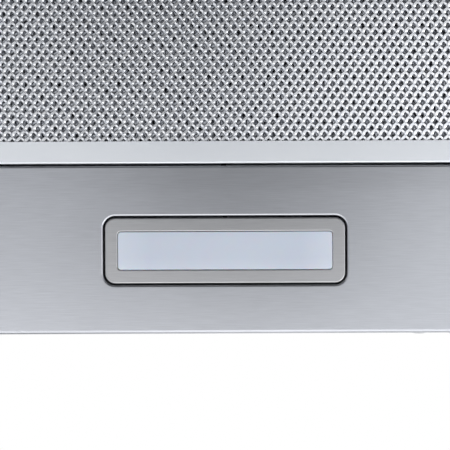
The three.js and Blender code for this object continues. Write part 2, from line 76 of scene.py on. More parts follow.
# --- Floor, backdrop and lights ---------------------------
# A pale floor far below the hood, a white room, and soft lamps below, in front, beside and above.
# Three black flags darken part of what the steel reflects, which gives it a gradient.
def area_light(name, place, target, size, power, colour):
    data = bpy.data.lights.new(name, "AREA")
    data.shape = "RECTANGLE"
    data.size, data.size_y = size
    data.energy = power
    data.color = colour
    light = bpy.data.objects.new(name, data)
    bpy.context.collection.objects.link(light)
    light.location = place
    light.visible_camera = False
    aim = Vector(target) - Vector(place)
    light.rotation_euler = aim.to_track_quat("-Z", "Y").to_euler()


card_z = lamp_low[2] - 0.9
cool, white = (0.98, 0.99, 1.0), (1.0, 1.0, 1.0)
for lamp in (
    ("left_card", (0.715, -0.52, card_z), (0.715, -0.52, 0), (0.77, 1.36), 0.8, (1.0, 0.99, 0.99)),
    ("right_card", (-0.465, -0.66, card_z), (-0.465, -0.66, 0), (0.87, 1.28), 2.0, cool),
    ("front_card", (0.1, -0.9, card_z), (0.1, -0.9, 0), (2.0, 0.9), 6.0, white),
    ("side_key", (-0.85, -0.95, -1.35), lamp_middle, (0.7, 0.7), 3.9, cool),
    ("front_wall", (-0.3, -1.7, -0.95), (0, -0.1, -0.13), (3.2, 1.3), 12.5, white),
    ("side_wall", (-2.0, -0.35, -0.75), (0, -0.25, -0.13), (1.1, 2.6), 5.5, cool),
    ("high_front", (-0.6, -2.6, 1.3), (0, 0, 0), (2.6, 2.0), 16, (1.0, 0.99, 0.97)),
    ("high_rear", (0.9, 2.6, 1.8), (0, 0, 0), (2.6, 2.0), 16, cool),
    ("ceiling", (0.2, 0.3, 2.4), (0.2, 0.3, 0), (3.6, 3.6), 34, white),
):
    area_light(*lamp)


def rectangle(low, high):
    """Its four corners, anticlockwise from the lowest."""
    return [low, (high[0], low[1]), high, (low[0], high[1])]


floor_data = bpy.data.meshes.new("floor")
floor_reach, floor_z = 9, -3.4
floor_data.from_pydata(
    [(x, y, floor_z) for x, y in rectangle((-floor_reach, -floor_reach), (floor_reach, floor_reach))],
    [], [(0, 1, 2, 3)],
)
floor = bpy.data.objects.new("floor", floor_data)
bpy.context.collection.objects.link(floor)


def black_flag(name, corners):
    """A flat black cloth that only reflections and light see."""
    data = bpy.data.meshes.new(name)
    data.from_pydata(corners, [], [(0, 1, 2, 3)])
    cloth = bpy.data.objects.new(name, data)
    bpy.context.collection.objects.link(cloth)
    cloth.visible_camera = False
    return data


flag_z = card_z - 0.05
flags = [
    black_flag(name, [(x, y, flag_z) for x, y in rectangle(low, high)]) for name, low, high in (
        ("flag_below", (0.03, -0.4), (0.29, 0.3)), ("flag_right", (-0.4, -0.16), (0.03, 0.4)),
    )
]
flags.append(black_flag("flag_behind", [(x, 1.3, z) for x, z in rectangle((-3, -2.6), (3, -0.3))]))

world = bpy.data.worlds.new("room")
bpy.context.scene.world = world
world.use_nodes = True
room = world.node_tree
room.nodes.clear()
room_out = room.nodes.new("ShaderNodeOutputWorld")
room_path = room.nodes.new("ShaderNodeLightPath")
room_sum = None
for ray, strength in ((None, 0.285), ("Is Diffuse Ray", 0.62), ("Is Camera Ray", 1.0)):
    shade = room.nodes.new("ShaderNodeBackground")
    shade.inputs["Color"].default_value = (1, 1, 1, 1) if ray == "Is Camera Ray" else (0.93, 0.96, 1.0, 1)
    shade.inputs["Strength"].default_value = strength
    if ray is None:
        room_sum = shade
        continue
    choose = room.nodes.new("ShaderNodeMixShader")
    room.links.new(room_path.outputs[ray], choose.inputs[0])
    room.links.new(room_sum.outputs[0], choose.inputs[1])
    room.links.new(shade.outputs[0], choose.inputs[2])
    room_sum = choose
room.links.new(room_sum.outputs[0], room_out.inputs[0])
bpy.context.scene.view_settings.view_transform = "Standard"


# --- Finishes: the tools that write them ------------------
# A finish is node maths on the object's own coordinates. Wire wraps one socket, so that sums
# and products of wires read as plain expressions.
class Wire:
    """One output socket in a material; arithmetic on it adds Math nodes."""

    def __init__(self, finish, socket):
        self.finish, self.socket = finish, socket

    def maths(self, operation, *others):
        return self.finish.node("ShaderNodeMath", {"operation": operation}, self, *others)

    def __add__(self, other):
        return self.maths("ADD", other)

    __radd__ = __add__

    def __sub__(self, other):
        return self.maths("SUBTRACT", other)

    def __rsub__(self, other):
        return self.finish.node("ShaderNodeMath", {"operation": "SUBTRACT"}, other, self)

    def __mul__(self, other):
        return self.maths("MULTIPLY", other)

    def __truediv__(self, other):
        return self.maths("DIVIDE", other)

    def clamp(self):
        return self.finish.node("ShaderNodeClamp", {}, self)

    def above(self, edge, soft):
        """0 below edge - soft, 1 above edge + soft, and straight between."""
        return ((self - (edge - soft)) / (2 * soft)).clamp()


class Finish:
    """One material: a Principled shader whose constants are set on its own sockets."""

    def __init__(self, name, **constants):
        self.material = bpy.data.materials.new(name)
        self.material.use_nodes = True
        self.tree = self.material.node_tree
        self.tree.nodes.clear()
        self.out = self.tree.nodes.new("ShaderNodeOutputMaterial")
        self.shader = self.tree.nodes.new("ShaderNodeBsdfPrincipled")
        self.tree.links.new(self.shader.outputs[0], self.out.inputs[0])
        for key, value in constants.items():
            self.shader.inputs[key.replace("_", " ")].default_value = value

    def node(self, kind, settings=None, *values, pick=0, **named):
        """Adds a node: settings first, then its inputs in order or by name; returns one output."""
        made = self.tree.nodes.new(kind)
        for key, value in (settings or {}).items():
            setattr(made, key, value)
        pairs = list(enumerate(values))
        pairs += [(key.replace("_", " "), value) for key, value in named.items()]
        for key, value in pairs:
            if isinstance(value, Wire):
                self.tree.links.new(value.socket, made.inputs[key])
            elif value is not None:
                made.inputs[key].default_value = value
        return Wire(self, made.outputs[pick])

    def feed(self, key, wire):
        self.tree.links.new(wire.socket, self.shader.inputs[key])

    def place(self, scale=(1, 1, 1)):
        """The object's coordinates, stretched by a scale on each axis."""
        here = self.node("ShaderNodeTexCoord", pick=3)
        return self.node("ShaderNodeMapping", {}, here, Scale=scale)

    def noise(self, scale, stretch=(1, 1, 1), detail=2.0, roughness=0.5):
        """Cloudy noise from 0 to 1; scale is in cells per metre before the stretch."""
        return self.node(
            "ShaderNodeTexNoise", {}, Vector=self.place(stretch), Scale=scale, Detail=detail,
            Roughness=roughness,
        )

    def mix(self, factor, low, high):
        """A colour between two others, by a wire from 0 to 1."""
        made = self.tree.nodes.new("ShaderNodeMix")
        made.data_type = "RGBA"
        self.tree.links.new(factor.socket, made.inputs[0])
        made.inputs[6].default_value = (*low, 1)
        made.inputs[7].default_value = (*high, 1)
        return Wire(self, made.outputs[2])

    def look(self, factor, low, high, roughness, relief=None, distance=0.0, strength=0.5):
        """Sets a colour between two others by a wire, the roughness, and a bump where relief is
        given, its distance in metres; returns the material."""
        self.feed("Base Color", self.mix(factor, low, high))
        self.feed("Roughness", roughness)
        if relief:
            bumped = self.node("ShaderNodeBump", {}, Strength=strength, Distance=distance, Height=relief)
            self.feed("Normal", bumped)
        return self.material


floor_finish = Finish("pale_floor", Roughness=0.7)
floor_cloud = floor_finish.noise(1.5, detail=3)
floor_finish.feed("Base Color", floor_finish.mix(floor_cloud, (0.72, 0.73, 0.74), (0.78, 0.78, 0.79)))
floor_data.materials.append(floor_finish.material)
flag_finish = Finish("black_cloth", Roughness=0.9)
flag_weave = flag_finish.noise(300)
flag_finish.feed("Base Color", flag_finish.mix(flag_weave, (0.02, 0.02, 0.02), (0.04, 0.04, 0.04)))
for data in flags:
    data.materials.append(flag_finish.material)


# --- Front and light panel --------------------------------
# One stainless sheet: the front face, a bend, the light panel under the lamps, and a lip that
# stands up beside the filters. Both lamp openings are drawn up into rolled collars.
def brushed(name, grain, light, dark, roughness=0.34):
    """Satin brushed steel: long streaks along one axis, drawn across it by fine bump."""
    finish = Finish(name, Metallic=1.0)
    stretch = tuple(0.025 if k == grain else 1.0 for k in range(3))
    fine = finish.noise(2600, stretch, detail=3)
    broad = finish.noise(900, tuple(0.06 if k == grain else 1.0 for k in range(3)), detail=3)
    cloud = finish.noise(9, detail=2)
    tone = fine * 0.5 + broad * 0.25 + cloud * 0.25
    rough = roughness - 0.05 + fine * 0.07 + cloud * 0.04
    return finish.look(tone.above(0.5, 0.26), dark, light, rough, fine * 0.6 + broad * 0.4, 0.000012, 0.8)


panel_steel = brushed("brushed_along_x", 0, (0.65, 0.663, 0.7), (0.49, 0.5, 0.53))
side_steel = brushed("brushed_along_y", 1, (0.65, 0.663, 0.7), (0.49, 0.5, 0.53))


def rounded_loop(width, depth, radius, middle, corner=8):
    """Closed rounded rectangle as a function of how far it moves into the sheet around a hole
    (positive grows it): straight sides joined by quarter circles, anticlockwise."""
    turn = np.linspace(0, math.pi / 2, corner)

    def at(away):
        r = max(radius + away, 0.2 * MM)
        a, b = width / 2 + away - r, depth / 2 + away - r
        parts = []
        for k, (su, sv) in enumerate(((1, 1), (-1, 1), (-1, -1), (1, -1))):
            angle = turn + k * math.pi / 2
            parts.append(np.column_stack([su * a + r * np.cos(angle), sv * b + r * np.sin(angle)]))
        return np.concatenate(parts) + np.asarray(middle)

    return at


def blank_loop(low, high, marks):
    """Rectangle of a sheet blank in (u, s), with a point on both ends at every marked s, as a
    function of how far it moves into the sheet."""
    marks = np.asarray([m for m in marks if low[1] + 2 * MM < m < high[1] - 2 * MM])

    def at(away):
        u0, s0, u1, s1 = low[0] + away, low[1] + away, high[0] - away, high[1] - away
        up = np.column_stack([np.full(len(marks), u1), marks])
        down = np.column_stack([np.full(len(marks), u0), marks[::-1]])
        return np.concatenate([[(u0, s0), (u1, s0)], up, [(u1, s1), (u0, s1)], down])

    return at


def sense(points):
    """1 for an outline that runs anticlockwise, -1 for one that runs clockwise."""
    ahead = np.roll(points, -1, 0)
    return math.copysign(1, (points[:, 0] * ahead[:, 1] - ahead[:, 0] * points[:, 1]).sum())


def outline_loop(corners, radius, steps=3):
    """Closed outline from its corners, each eased to an arc, as a function of how far it moves
    inwards: every point moves along its own normal."""
    corners = np.asarray(corners, float)
    middle = (corners[0] + corners[-1]) / 2
    _, points, angles = fold([middle, *corners, middle], [radius] * len(corners), steps)
    points, angles = points[:-1], angles[:-1]
    inward = sense(points) * np.column_stack([-np.sin(angles), np.cos(angles)])
    return lambda away: points + inward * away


def quarter(radius, steps):
    """Quarter circle about (radius, radius), from (radius, 0) to (0, radius)."""
    turn = np.linspace(0, math.pi / 2, steps + 1)
    return np.column_stack([radius * (1 - np.sin(turn)), radius * (1 - np.cos(turn))])


def eased_edge(thickness, radius, steps=3):
    """Edge of a plate as (into the sheet, up through it) pairs: a quarter circle from the outer
    face to the edge, and another to the inner face."""
    lower = quarter(radius, steps)
    upper = np.column_stack([lower[::-1, 0], thickness - lower[::-1, 1]])
    return np.concatenate([lower, upper])


def fold(corners, radii, steps=6):
    """Path of a sheet's outer face from its sharp corners: each bend becomes an arc of its radius.
    Returns arrays of developed length, the two coordinates and the direction of travel."""
    corners = [np.asarray(c, float) for c in corners]
    heading = [math.atan2(*(b - a)[::-1]) for a, b in zip(corners, corners[1:])]
    edges = [np.linalg.norm(b - a) for a, b in zip(corners, corners[1:])]
    points, angles = [corners[0]], [heading[0]]
    for k, (corner, radius) in enumerate(zip(corners[1:-1], radii)):
        before, after = heading[k], heading[k + 1]
        bend = (after - before + math.pi) % (2 * math.pi) - math.pi
        if abs(bend) < 1e-6:
            points.append(corner)
            angles.append(before)
            continue
        side = math.copysign(1, bend)
        reach = min(radius * math.tan(abs(bend) / 2), 0.49 * min(edges[k], edges[k + 1]))
        radius = reach / math.tan(abs(bend) / 2)
        start = corner - reach * np.array([math.cos(before), math.sin(before)])
        centre = start + side * radius * np.array([-math.sin(before), math.cos(before)])
        for t in np.linspace(0, 1, steps + 1):
            angle = before + bend * t
            points.append(centre + side * radius * np.array([math.sin(angle), -math.cos(angle)]))
            angles.append(angle)
    points.append(corners[-1])
    angles.append(heading[-1])
    points, angles = np.array(points), np.array(angles)
    length = np.concatenate([[0], np.cumsum(np.linalg.norm(np.diff(points, axis=0), axis=1))])
    return length, points, angles


def folded(path):
    """Places sheet coordinates (u, s, w) on a folded path: u along the bend lines, s along the
    path and w from the outer face through the sheet, to the left of travel."""
    length, points, angles = path

    def at(usw):
        u, s, w = usw.T
        a = np.interp(s, length, points[:, 0])
        b = np.interp(s, length, points[:, 1])
        angle = np.interp(s, length, angles)
        return np.column_stack([u, a - w * np.sin(angle), b + w * np.cos(angle)])

    return at


def unit(vectors):
    """Vectors brought to length 1; one of no length stays as it is."""
    return vectors / np.maximum(np.linalg.norm(vectors, axis=-1, keepdims=True), 1e-12)


def ring_quads(rings, around, closed=False):
    """Quads between rings of points that follow one another, each ring closed on itself; closed
    also joins the last ring to the first."""
    i, j = np.meshgrid(np.arange(rings - (not closed)), np.arange(around), indexing="ij")
    ahead, beside = (i + 1) % rings, (j + 1) % around
    quads = [i * around + j, i * around + beside, ahead * around + beside, ahead * around + j]
    return np.stack(quads, -1).reshape(-1, 4)


def mesh_piece(name, points, faces, normals, material, flat=False):
    """A mesh object at the origin. Each face is wound to agree with its vertices' normals."""
    points, normals = np.asarray(points), np.asarray(normals)
    wound = []
    for face in faces:
        face = np.asarray(face)
        p = points[face]
        area = np.cross(p[:, 1] - p[:, 0], p[:, 2] - p[:, 0])
        if face.shape[1] == 4:
            area = area + np.cross(p[:, 2] - p[:, 0], p[:, 3] - p[:, 0])
        wrong = (area * normals[face].sum(1)).sum(1) < 0
        face[wrong] = face[wrong, ::-1]
        wound += face.tolist()
    data = bpy.data.meshes.new(name)
    data.from_pydata(points.tolist(), [], wound)
    data.update()
    if not flat:
        data.polygons.foreach_set("use_smooth", np.ones(len(data.polygons), bool))
        data.normals_split_custom_set_from_vertices(normals.tolist())
    data.materials.append(material)
    piece = bpy.data.objects.new(name, data)
    bpy.context.collection.objects.link(piece)
    return piece


def inside_loop(points, loop):
    """Which points lie inside a closed loop, by counting edges crossed to their right."""
    a, b = loop, np.roll(loop, -1, 0)
    x, y = points[:, :1], points[:, 1:]
    crosses = (a[:, 1] > y) != (b[:, 1] > y)
    rise = np.where(b[:, 1] == a[:, 1], 1, b[:, 1] - a[:, 1])
    return (crosses & (x < (b[:, 0] - a[:, 0]) * (y - a[:, 1]) / rise + a[:, 0])).sum(1) % 2 == 1


def face_triangles(outer, holes, marks):
    """Triangles of a flat region with holes, split along the marked bend lines."""
    loops = [outer, *holes]
    flat = np.concatenate(loops)
    edges, start = [], 0
    for loop in loops:
        ring = np.arange(len(loop)) + start
        edges += np.column_stack([ring, np.roll(ring, -1)]).tolist()
        start += len(loop)
    for mark in marks:
        on = [i for i in range(len(outer)) if abs(outer[i, 1] - mark) < 1e-9]
        if len(on) == 2:
            edges.append(on)
    made = delaunay_2d_cdt([Vector(p) for p in flat.tolist()], edges, [], 0, 1e-9, True)
    source = np.array([o[0] if o else -1 for o in made[3]])
    corners = np.array(made[2])
    triangles = source[corners]
    triangles = triangles[(triangles >= 0).all(1)]
    middle = flat[triangles].mean(1)
    keep = inside_loop(middle, outer)
    for hole in holes:
        keep &= ~inside_loop(middle, hole)
    return triangles[keep]


def sheet_piece(name, outer, holes, thickness, place, material, marks=(), edge=0.3 * MM):
    """A sheet or plate with eased edges: its outer and inner faces are flat regions in (u, s),
    each loop's edge is a profile carried round it, and place bends the whole into its shape.
    A hole is a loop, or a loop with an edge profile of its own."""
    plain = eased_edge(thickness, min(edge, thickness * 0.45))
    rims = [(lambda away: outer(away), plain)]
    rims += [(h if isinstance(h, tuple) else (h, plain)) for h in holes]
    points, normals, faces, count = [], [], [], 0
    first, last = [], []
    for loop, profile in rims:
        rings = np.array([loop(away) for away, _ in profile])
        n = rings.shape[1]
        out = unit(rings[0] - loop(profile[0][0] + 0.05 * MM))
        tilt = unit(np.gradient(np.asarray(profile), axis=0)[:, ::-1])
        tilt[0], tilt[-1] = (0, -1), (0, 1)
        heights = np.repeat(np.asarray(profile)[:, 1], n)
        points.append(np.column_stack([rings.reshape(-1, 2), heights]))
        spread = tilt[:, None, 0:1] * out[None]
        lift = np.repeat(tilt[:, 1], n)[:, None]
        normals.append(np.column_stack([spread.reshape(-1, 2), lift]))
        faces.append(ring_quads(len(profile), n) + count)
        first.append(np.arange(n) + count)
        last.append(np.arange(n) + count + (len(profile) - 1) * n)
        count += len(profile) * n
    points, normals = np.concatenate(points), np.concatenate(normals)
    for ends in (first, last):
        loops = [points[e, :2] for e in ends]
        triangles = face_triangles(loops[0], loops[1:], marks)
        faces.append(np.concatenate(ends)[triangles])
    small = 0.01 * MM
    turned = np.zeros_like(points)
    for k in range(3):
        offset = np.zeros(3)
        offset[k] = small
        turned += normals[:, k:k + 1] * (place(points + offset) - place(points - offset))
    return mesh_piece(name, place(points), faces, unit(turned), material)


def fit(piece, body, slot, *stands_for):
    """Fixes a piece to its body and hides the CAD parts it stands for. Its slot argument is not used."""
    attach(piece, body)
    if stands_for:
        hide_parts(*stands_for)
    return piece


def rolled_rim(radius, height, thickness, steps=5):
    """Edge of an opening drawn up into a collar: an arc off the outer face, a wall, a rounded
    top and a fillet back on to the inner face."""
    half = thickness / 2
    over = np.linspace(0, math.pi, 6)
    top = np.column_stack([half - half * np.cos(over), height - half + half * np.sin(over)])
    inner = max(radius - thickness, 0.6 * MM)
    return np.concatenate([quarter(radius, steps), top, thickness + quarter(inner, steps)[::-1]])


def mm(*pairs):
    """Pairs of millimetres as metres."""
    return [(a * MM, b * MM) for a, b in pairs]


SHEET = 1.0 * MM
hinge_y, hinge_z, hinge_hole = -235.2 * MM, -126.5 * MM, 1.7 * MM
face_low, face_high = box("front_panel")
canopy_low, canopy_high = box("canopy_top")
half_width = face_high[0]
front_y, bottom_z = face_low[1], face_low[2]
lip_y = face_high[1]
lip_top = bottom_z + 12 * MM
front_path = fold(
    [(front_y, face_high[2]), (front_y, bottom_z), (lip_y - 16 * MM, bottom_z),
     (lip_y, bottom_z + 0.22 * MM), (lip_y, lip_top)],
    [2.6 * MM, 300 * MM, 1.5 * MM],
)
bottom_start = (face_high[2] - bottom_z) - (4 - math.pi) / 2 * 2.6 * MM


def under(x, y):
    """Sheet coordinates of a point on the light panel."""
    return (x, bottom_start + (y - front_y))


opening_width, opening_depth, opening_radius = 161 * MM, 45.5 * MM, 8 * MM
lamp_x = lamp_middle[0]
collar = rolled_rim(1.5 * MM, 5 * MM, SHEET)
plate_low, plate_high = box("control_plate")
window_middle = (0, face_high[2] - (plate_low[2] + plate_high[2]) / 2)
window = rounded_loop(
    plate_high[0] - plate_low[0] + 0.6 * MM, plate_high[2] - plate_low[2] + 0.6 * MM, 3.3 * MM,
    window_middle, 6,
)
openings = [
    (rounded_loop(opening_width, opening_depth, opening_radius, under(x, lamp_middle[1]), 12), collar)
    for x in (-lamp_x, lamp_x)
]
front_marks = front_path[0][1:-1]
panel = sheet_piece(
    "front_light_panel",
    blank_loop((-half_width, 0), (half_width, front_path[0][-1]), front_marks),
    [window, *openings], SHEET, folded(front_path), panel_steel, front_marks,
)
fit(panel, "hood", "brushed_panels", "front_panel")


# --- Top sheet --------------------------------------------
# Stainless sheet, flat where it meets the cabinet and bent once to slope down over the front. It
# is cut for the duct, for four keyholes that hang on the cabinet's screws and for the cable.
def flipped(loop):
    """The same outline, moving inwards where it moved outwards, and the other way round."""
    return lambda away: loop(-away)


def circle(steps):
    """Points on a circle of radius 1, evenly spread."""
    turn = np.arange(steps) * 2 * math.pi / steps
    return np.column_stack([np.cos(turn), np.sin(turn)])


def round_hole(radius, middle, steps=32):
    """Circle as a function of how far it moves into the sheet around it."""
    return lambda away: np.asarray(middle) + circle(steps) * (radius + away)


def keyhole(x, s, towards):
    """Screw head's circle with a slot for its shank: an arc, then the slot's two far corners."""
    turn = np.radians(np.linspace(-60, 240, 21))
    ring = np.column_stack([x + 5 * MM * np.cos(turn), s - towards * 5 * MM * np.sin(turn)])
    end = s + towards * 13 * MM
    slot = [(x - 2.5 * MM, end), (x + 2.5 * MM, end)]
    return flipped(outline_loop([*ring.tolist(), *slot], 0.8 * MM, 2))


rear_y, fold_y = canopy_high[1], -150 * MM
top_path = fold([(rear_y, 0), (fold_y, 0), (front_y, canopy_low[2] + SHEET * 1.05)], [4 * MM])
duct_y = 84 * MM
top_holes = [rounded_loop(255.2 * MM, 83.7 * MM, 1.5 * MM, (0, rear_y - duct_y), 5)]
top_holes += [keyhole(x, rear_y - y, -1) for x in (-300 * MM, 300 * MM) for y in (-100 * MM, 105 * MM)]
cable_x, cable_y = -240 * MM, 100 * MM
top_holes.append(round_hole(11 * MM, (cable_x, rear_y - cable_y)))
top_marks = top_path[0][1:-1]
top = sheet_piece(
    "top_sheet", blank_loop((-half_width, 0), (half_width, top_path[0][-1]), top_marks),
    top_holes, SHEET, folded(top_path), panel_steel, top_marks,
)
fit(top, "hood", "brushed_panels", "canopy_top")


# --- Side sheets ------------------------------------------
# One stainless sheet on each side: a wall cut to the slope of the top, and a floor flange bent in
# beside the filters that carries the small ear for the filter's outer hinge pin.
side_low, side_high = box("right_side_panel")
wall_top, wall_rear, wall_front = side_high[2], side_high[1], side_low[1]
flange_in, flange_front, flange_rear = 354.5 * MM, -237 * MM, 124.4 * MM
bend_radius = 1.7 * MM
slope = (canopy_low[2] + 1.05 * SHEET) / (front_y - fold_y)
wall_front_top = (wall_front - fold_y) * slope + wall_top
for side, sign in (("left", -1), ("right", 1)):
    path = fold(
        [(flange_in, bottom_z), (half_width, bottom_z), (half_width, wall_top)], [bend_radius],
    )
    marks = path[0][1:-1]
    foot = marks[-1] + 0.5 * MM
    top_s = path[0][-1]
    drop = top_s - (wall_top - wall_front_top)
    outline = outline_loop([
        (flange_front, 0), (flange_rear, 0), *[(flange_rear, m) for m in marks], (flange_rear, foot),
        (wall_rear, foot), (wall_rear, top_s), (fold_y, top_s), (wall_front, drop),
        (wall_front, foot), (flange_front, foot), *[(flange_front, m) for m in marks[::-1]],
    ], 0.8 * MM)
    bend = folded(path)
    piece = sheet_piece(
        f"{side}_side_sheet", outline, [], SHEET,
        lambda usw, bend=bend, sign=sign: bend(usw)[:, [1, 0, 2]] * (sign, 1, 1),
        side_steel, marks,
    )
    fit(piece, "hood", "brushed_panels", f"{side}_side_panel")
    ear = sheet_piece(
        f"{side}_hinge_ear",
        outline_loop(
            mm((-236.9, -129), (-229, -129), (-229, -121), (-231.5, -119.8), (-236.9, -119.8)), 1.6 * MM,
        ),
        [round_hole(hinge_hole, (hinge_y, hinge_z), 20)], SHEET,
        lambda usw, sign=sign: np.column_stack([sign * (354.6 * MM + usw[:, 2]), usw[:, 0], usw[:, 1]]),
        side_steel,
    )
    fit(ear, "hood", "brushed_panels")


# --- Rear wall and its cover ------------------------------
# Stainless rear sheet with a second duct outlet, shut from inside by a zinc coated cover that four
# pan head screws hold.
def zinc(name, light, dark):
    """Hot dipped zinc: spangles a few millimetres wide, each with a grey and a gloss of its own."""
    finish = Finish(name, Metallic=1.0)
    spangle = finish.node(
        "ShaderNodeTexVoronoi", {"feature": "F1"}, Vector=finish.place(), Scale=210.0, Randomness=1.0,
        pick=1,
    )
    grey = finish.node("ShaderNodeRGBToBW", {}, spangle)
    cloud = finish.noise(12, detail=3)
    grain = finish.noise(900, detail=2)
    tone = (grey - 0.5) * 0.55 + cloud * 0.6 + 0.2
    rough = 0.38 + grey * 0.16 + grain * 0.06
    return finish.look(tone.clamp(), dark, light, rough, grain * 0.5 + grey * 0.5, 0.00001)


zinc_sheet = zinc("zinc_sheet", (0.66, 0.68, 0.7), (0.4, 0.415, 0.43))


def upright(y):
    """Places sheet coordinates (x, z, w) upright across the hood: w goes forward from y."""
    return lambda uvw: np.column_stack([uvw[:, 0], y - uvw[:, 2], uvw[:, 1]])


back_low, back_high = box("back_panel")
cover_low, cover_high = box("rear_outlet_cover")
outlet_low, outlet_high = -105 * MM, -22.5 * MM
outlet_middle = (0, (outlet_low + outlet_high) / 2)
back = sheet_piece(
    "rear_sheet",
    flipped(rounded_loop(
        back_high[0] - back_low[0], back_high[2] - back_low[2], 0.8 * MM,
        (0, (back_low[2] + back_high[2]) / 2), 4,
    )),
    [rounded_loop(254 * MM, outlet_high - outlet_low, 2 * MM, outlet_middle, 5)],
    SHEET, upright(back_high[1]), panel_steel,
)
fit(back, "hood", "brushed_panels", "back_panel")
cover = sheet_piece(
    "rear_outlet_plate",
    flipped(rounded_loop(
        cover_high[0] - cover_low[0], cover_high[2] - cover_low[2], 4 * MM, outlet_middle, 6,
    )),
    [], SHEET, upright(cover_high[1]), zinc_sheet,
)
fit(cover, "hood", "galvanised_sheet", "rear_outlet_cover")


def ground(name, light, dark, roughness):
    """Plain machined or zinc plated steel: faint turning marks over soft clouds."""
    finish = Finish(name, Metallic=1.0)
    cloud = finish.noise(60, detail=3)
    mark = finish.noise(1400, (1, 0.06, 0.06), detail=2)
    return finish.look(cloud * 0.5 + mark * 0.5, dark, light, roughness + mark * 0.12, mark, 0.000006)


bright_steel = ground("zinc_plated_steel", (0.72, 0.73, 0.74), (0.5, 0.51, 0.52), 0.22)
TURNS = {"x": [2, 0, 1], "y": [1, 2, 0], "z": [0, 1, 2]}


def end_fans(rings, around):
    """Triangles from the two points that follow a row of rings to its first and last ring."""
    ring = np.arange(around)
    return np.concatenate([
        np.column_stack([np.full(around, rings * around + k), ring + first, np.roll(ring, -1) + first])
        for k, first in enumerate((0, (rings - 1) * around))
    ])


def screw_heads(name, places, radius, axis, facing=1):
    """Pan heads with a cross recess: height over a polar grid is a flattened dome, less a cross
    of two tapered slots, and each head is closed by a flat underside."""
    ring, around = 15, 32
    r = np.concatenate([np.linspace(0.12, 0.9, ring - 4), [0.96, 0.99, 1.0, 1.0]]) * radius
    x, y = (np.outer(r, share) for share in circle(around).T)
    dome = radius * (0.3 + 0.32 * (1 - np.clip(r / radius, 0, 1) ** 4))[:, None]
    dome[-1] = 0
    slot = np.clip(1.6 - np.minimum(abs(x), abs(y)) / (0.14 * radius), 0, 1)
    slot *= np.clip((0.62 * radius - np.maximum(abs(x), abs(y))) / (0.08 * radius), 0, 1)
    z = np.where(np.arange(ring)[:, None] < ring - 1, dome - 0.3 * radius * slot, 0)
    grid = np.stack([x, y, z], -1).reshape(-1, 3)
    cap = np.array([[0, 0, 0.32 * radius], [0, 0, 0]])
    one = np.concatenate([grid, cap])
    up = np.where(one[:, 2:] > 0, radius, np.where(one[:, 2:] == 0, -radius, 0))
    out = one * (1, 1, 0) * 0.6 + (0, 0, 1) * up
    points = np.concatenate([(one * (1, 1, facing))[:, TURNS[axis]] + place for place in places])
    normals = np.tile((out * (1, 1, facing))[:, TURNS[axis]], (len(places), 1))
    shift = (np.arange(len(places)) * len(one))[:, None, None]
    faces = [ring_quads(ring, around), end_fans(ring, around)]
    faces = [(part[None] + shift).reshape(-1, part.shape[1]) for part in faces]
    return mesh_piece(name, points, faces, normals, bright_steel, True)


cover_screws = screw_heads(
    "rear_cover_screws",
    [(x, cover_low[1], z) for x in (cover_low[0] + 5 * MM, cover_high[0] - 5 * MM)
     for z in (cover_low[2] + 12 * MM, cover_high[2] - 12 * MM)],
    3.2 * MM, "y", -1,
)
fit(cover_screws, "hood", "plain_steel")


# --- Rear and centre rails --------------------------------
# The rear rail is a stainless angle with a notch over each filter latch; the centre rail is a
# narrow stainless channel between the filters that holds their inner hinge pins.
def bar(name, corners, radius, axis, start, length, material, edge=0.3 * MM):
    """A closed section carried straight along an axis, its ends eased like a cut edge."""
    order = {"x": [2, 0, 1], "y": [0, 2, 1], "z": [0, 1, 2]}[axis]
    return sheet_piece(
        name, outline_loop(corners, radius), [], length,
        lambda uvw: (uvw + (0, 0, start))[:, order], material, edge=edge,
    )


rail_low, rail_high = box("rear_filter_rail")
rail_path = fold(
    [(rail_low[1], bottom_z), (rail_high[1], bottom_z), (rail_high[1], rail_high[2])], [1.7 * MM],
)
rail_marks = rail_path[0][1:-1]
notch_half, notch_deep, latch_x = 14 * MM, 8.3 * MM, 179 * MM
notches = [
    (x + dx, s) for x in (-latch_x, latch_x)
    for dx, s in ((-notch_half, 0), (-notch_half, notch_deep), (notch_half, notch_deep), (notch_half, 0))
]
rail = sheet_piece(
    "rear_rail",
    outline_loop([
        (rail_low[0], 0), *notches, (rail_high[0], 0), *[(rail_high[0], m) for m in rail_marks],
        (rail_high[0], rail_path[0][-1]), (rail_low[0], rail_path[0][-1]),
        *[(rail_low[0], m) for m in rail_marks[::-1]],
    ], 0.8 * MM),
    [], SHEET, folded(rail_path), panel_steel, rail_marks,
)
fit(rail, "hood", "brushed_panels", "rear_filter_rail")

spine_low, spine_high = box("centre_filter_rail")
half, web_z, rim_z = spine_high[0], spine_low[2], spine_high[2]
spine = bar(
    "centre_rail",
    [(-half, rim_z), (-half, web_z), (half, web_z), (half, rim_z), (half - SHEET, rim_z),
     (half - SHEET, web_z + SHEET), (-half + SHEET, web_z + SHEET), (-half + SHEET, rim_z)],
    0.45 * MM, "y", spine_low[1], spine_high[1] - spine_low[1], side_steel,
)
fit(spine, "hood", "brushed_panels", "centre_filter_rail")


# --- Lamps ------------------------------------------------
# Each lamp is a brushed bezel plate let into its opening, a frosted pane flush in the bezel's
# window, and a zinc coated pan behind them that four spring clips hold against the panel.
bezel_steel = brushed("brushed_bezel", 0, (0.62, 0.62, 0.63), (0.47, 0.47, 0.48), 0.36)

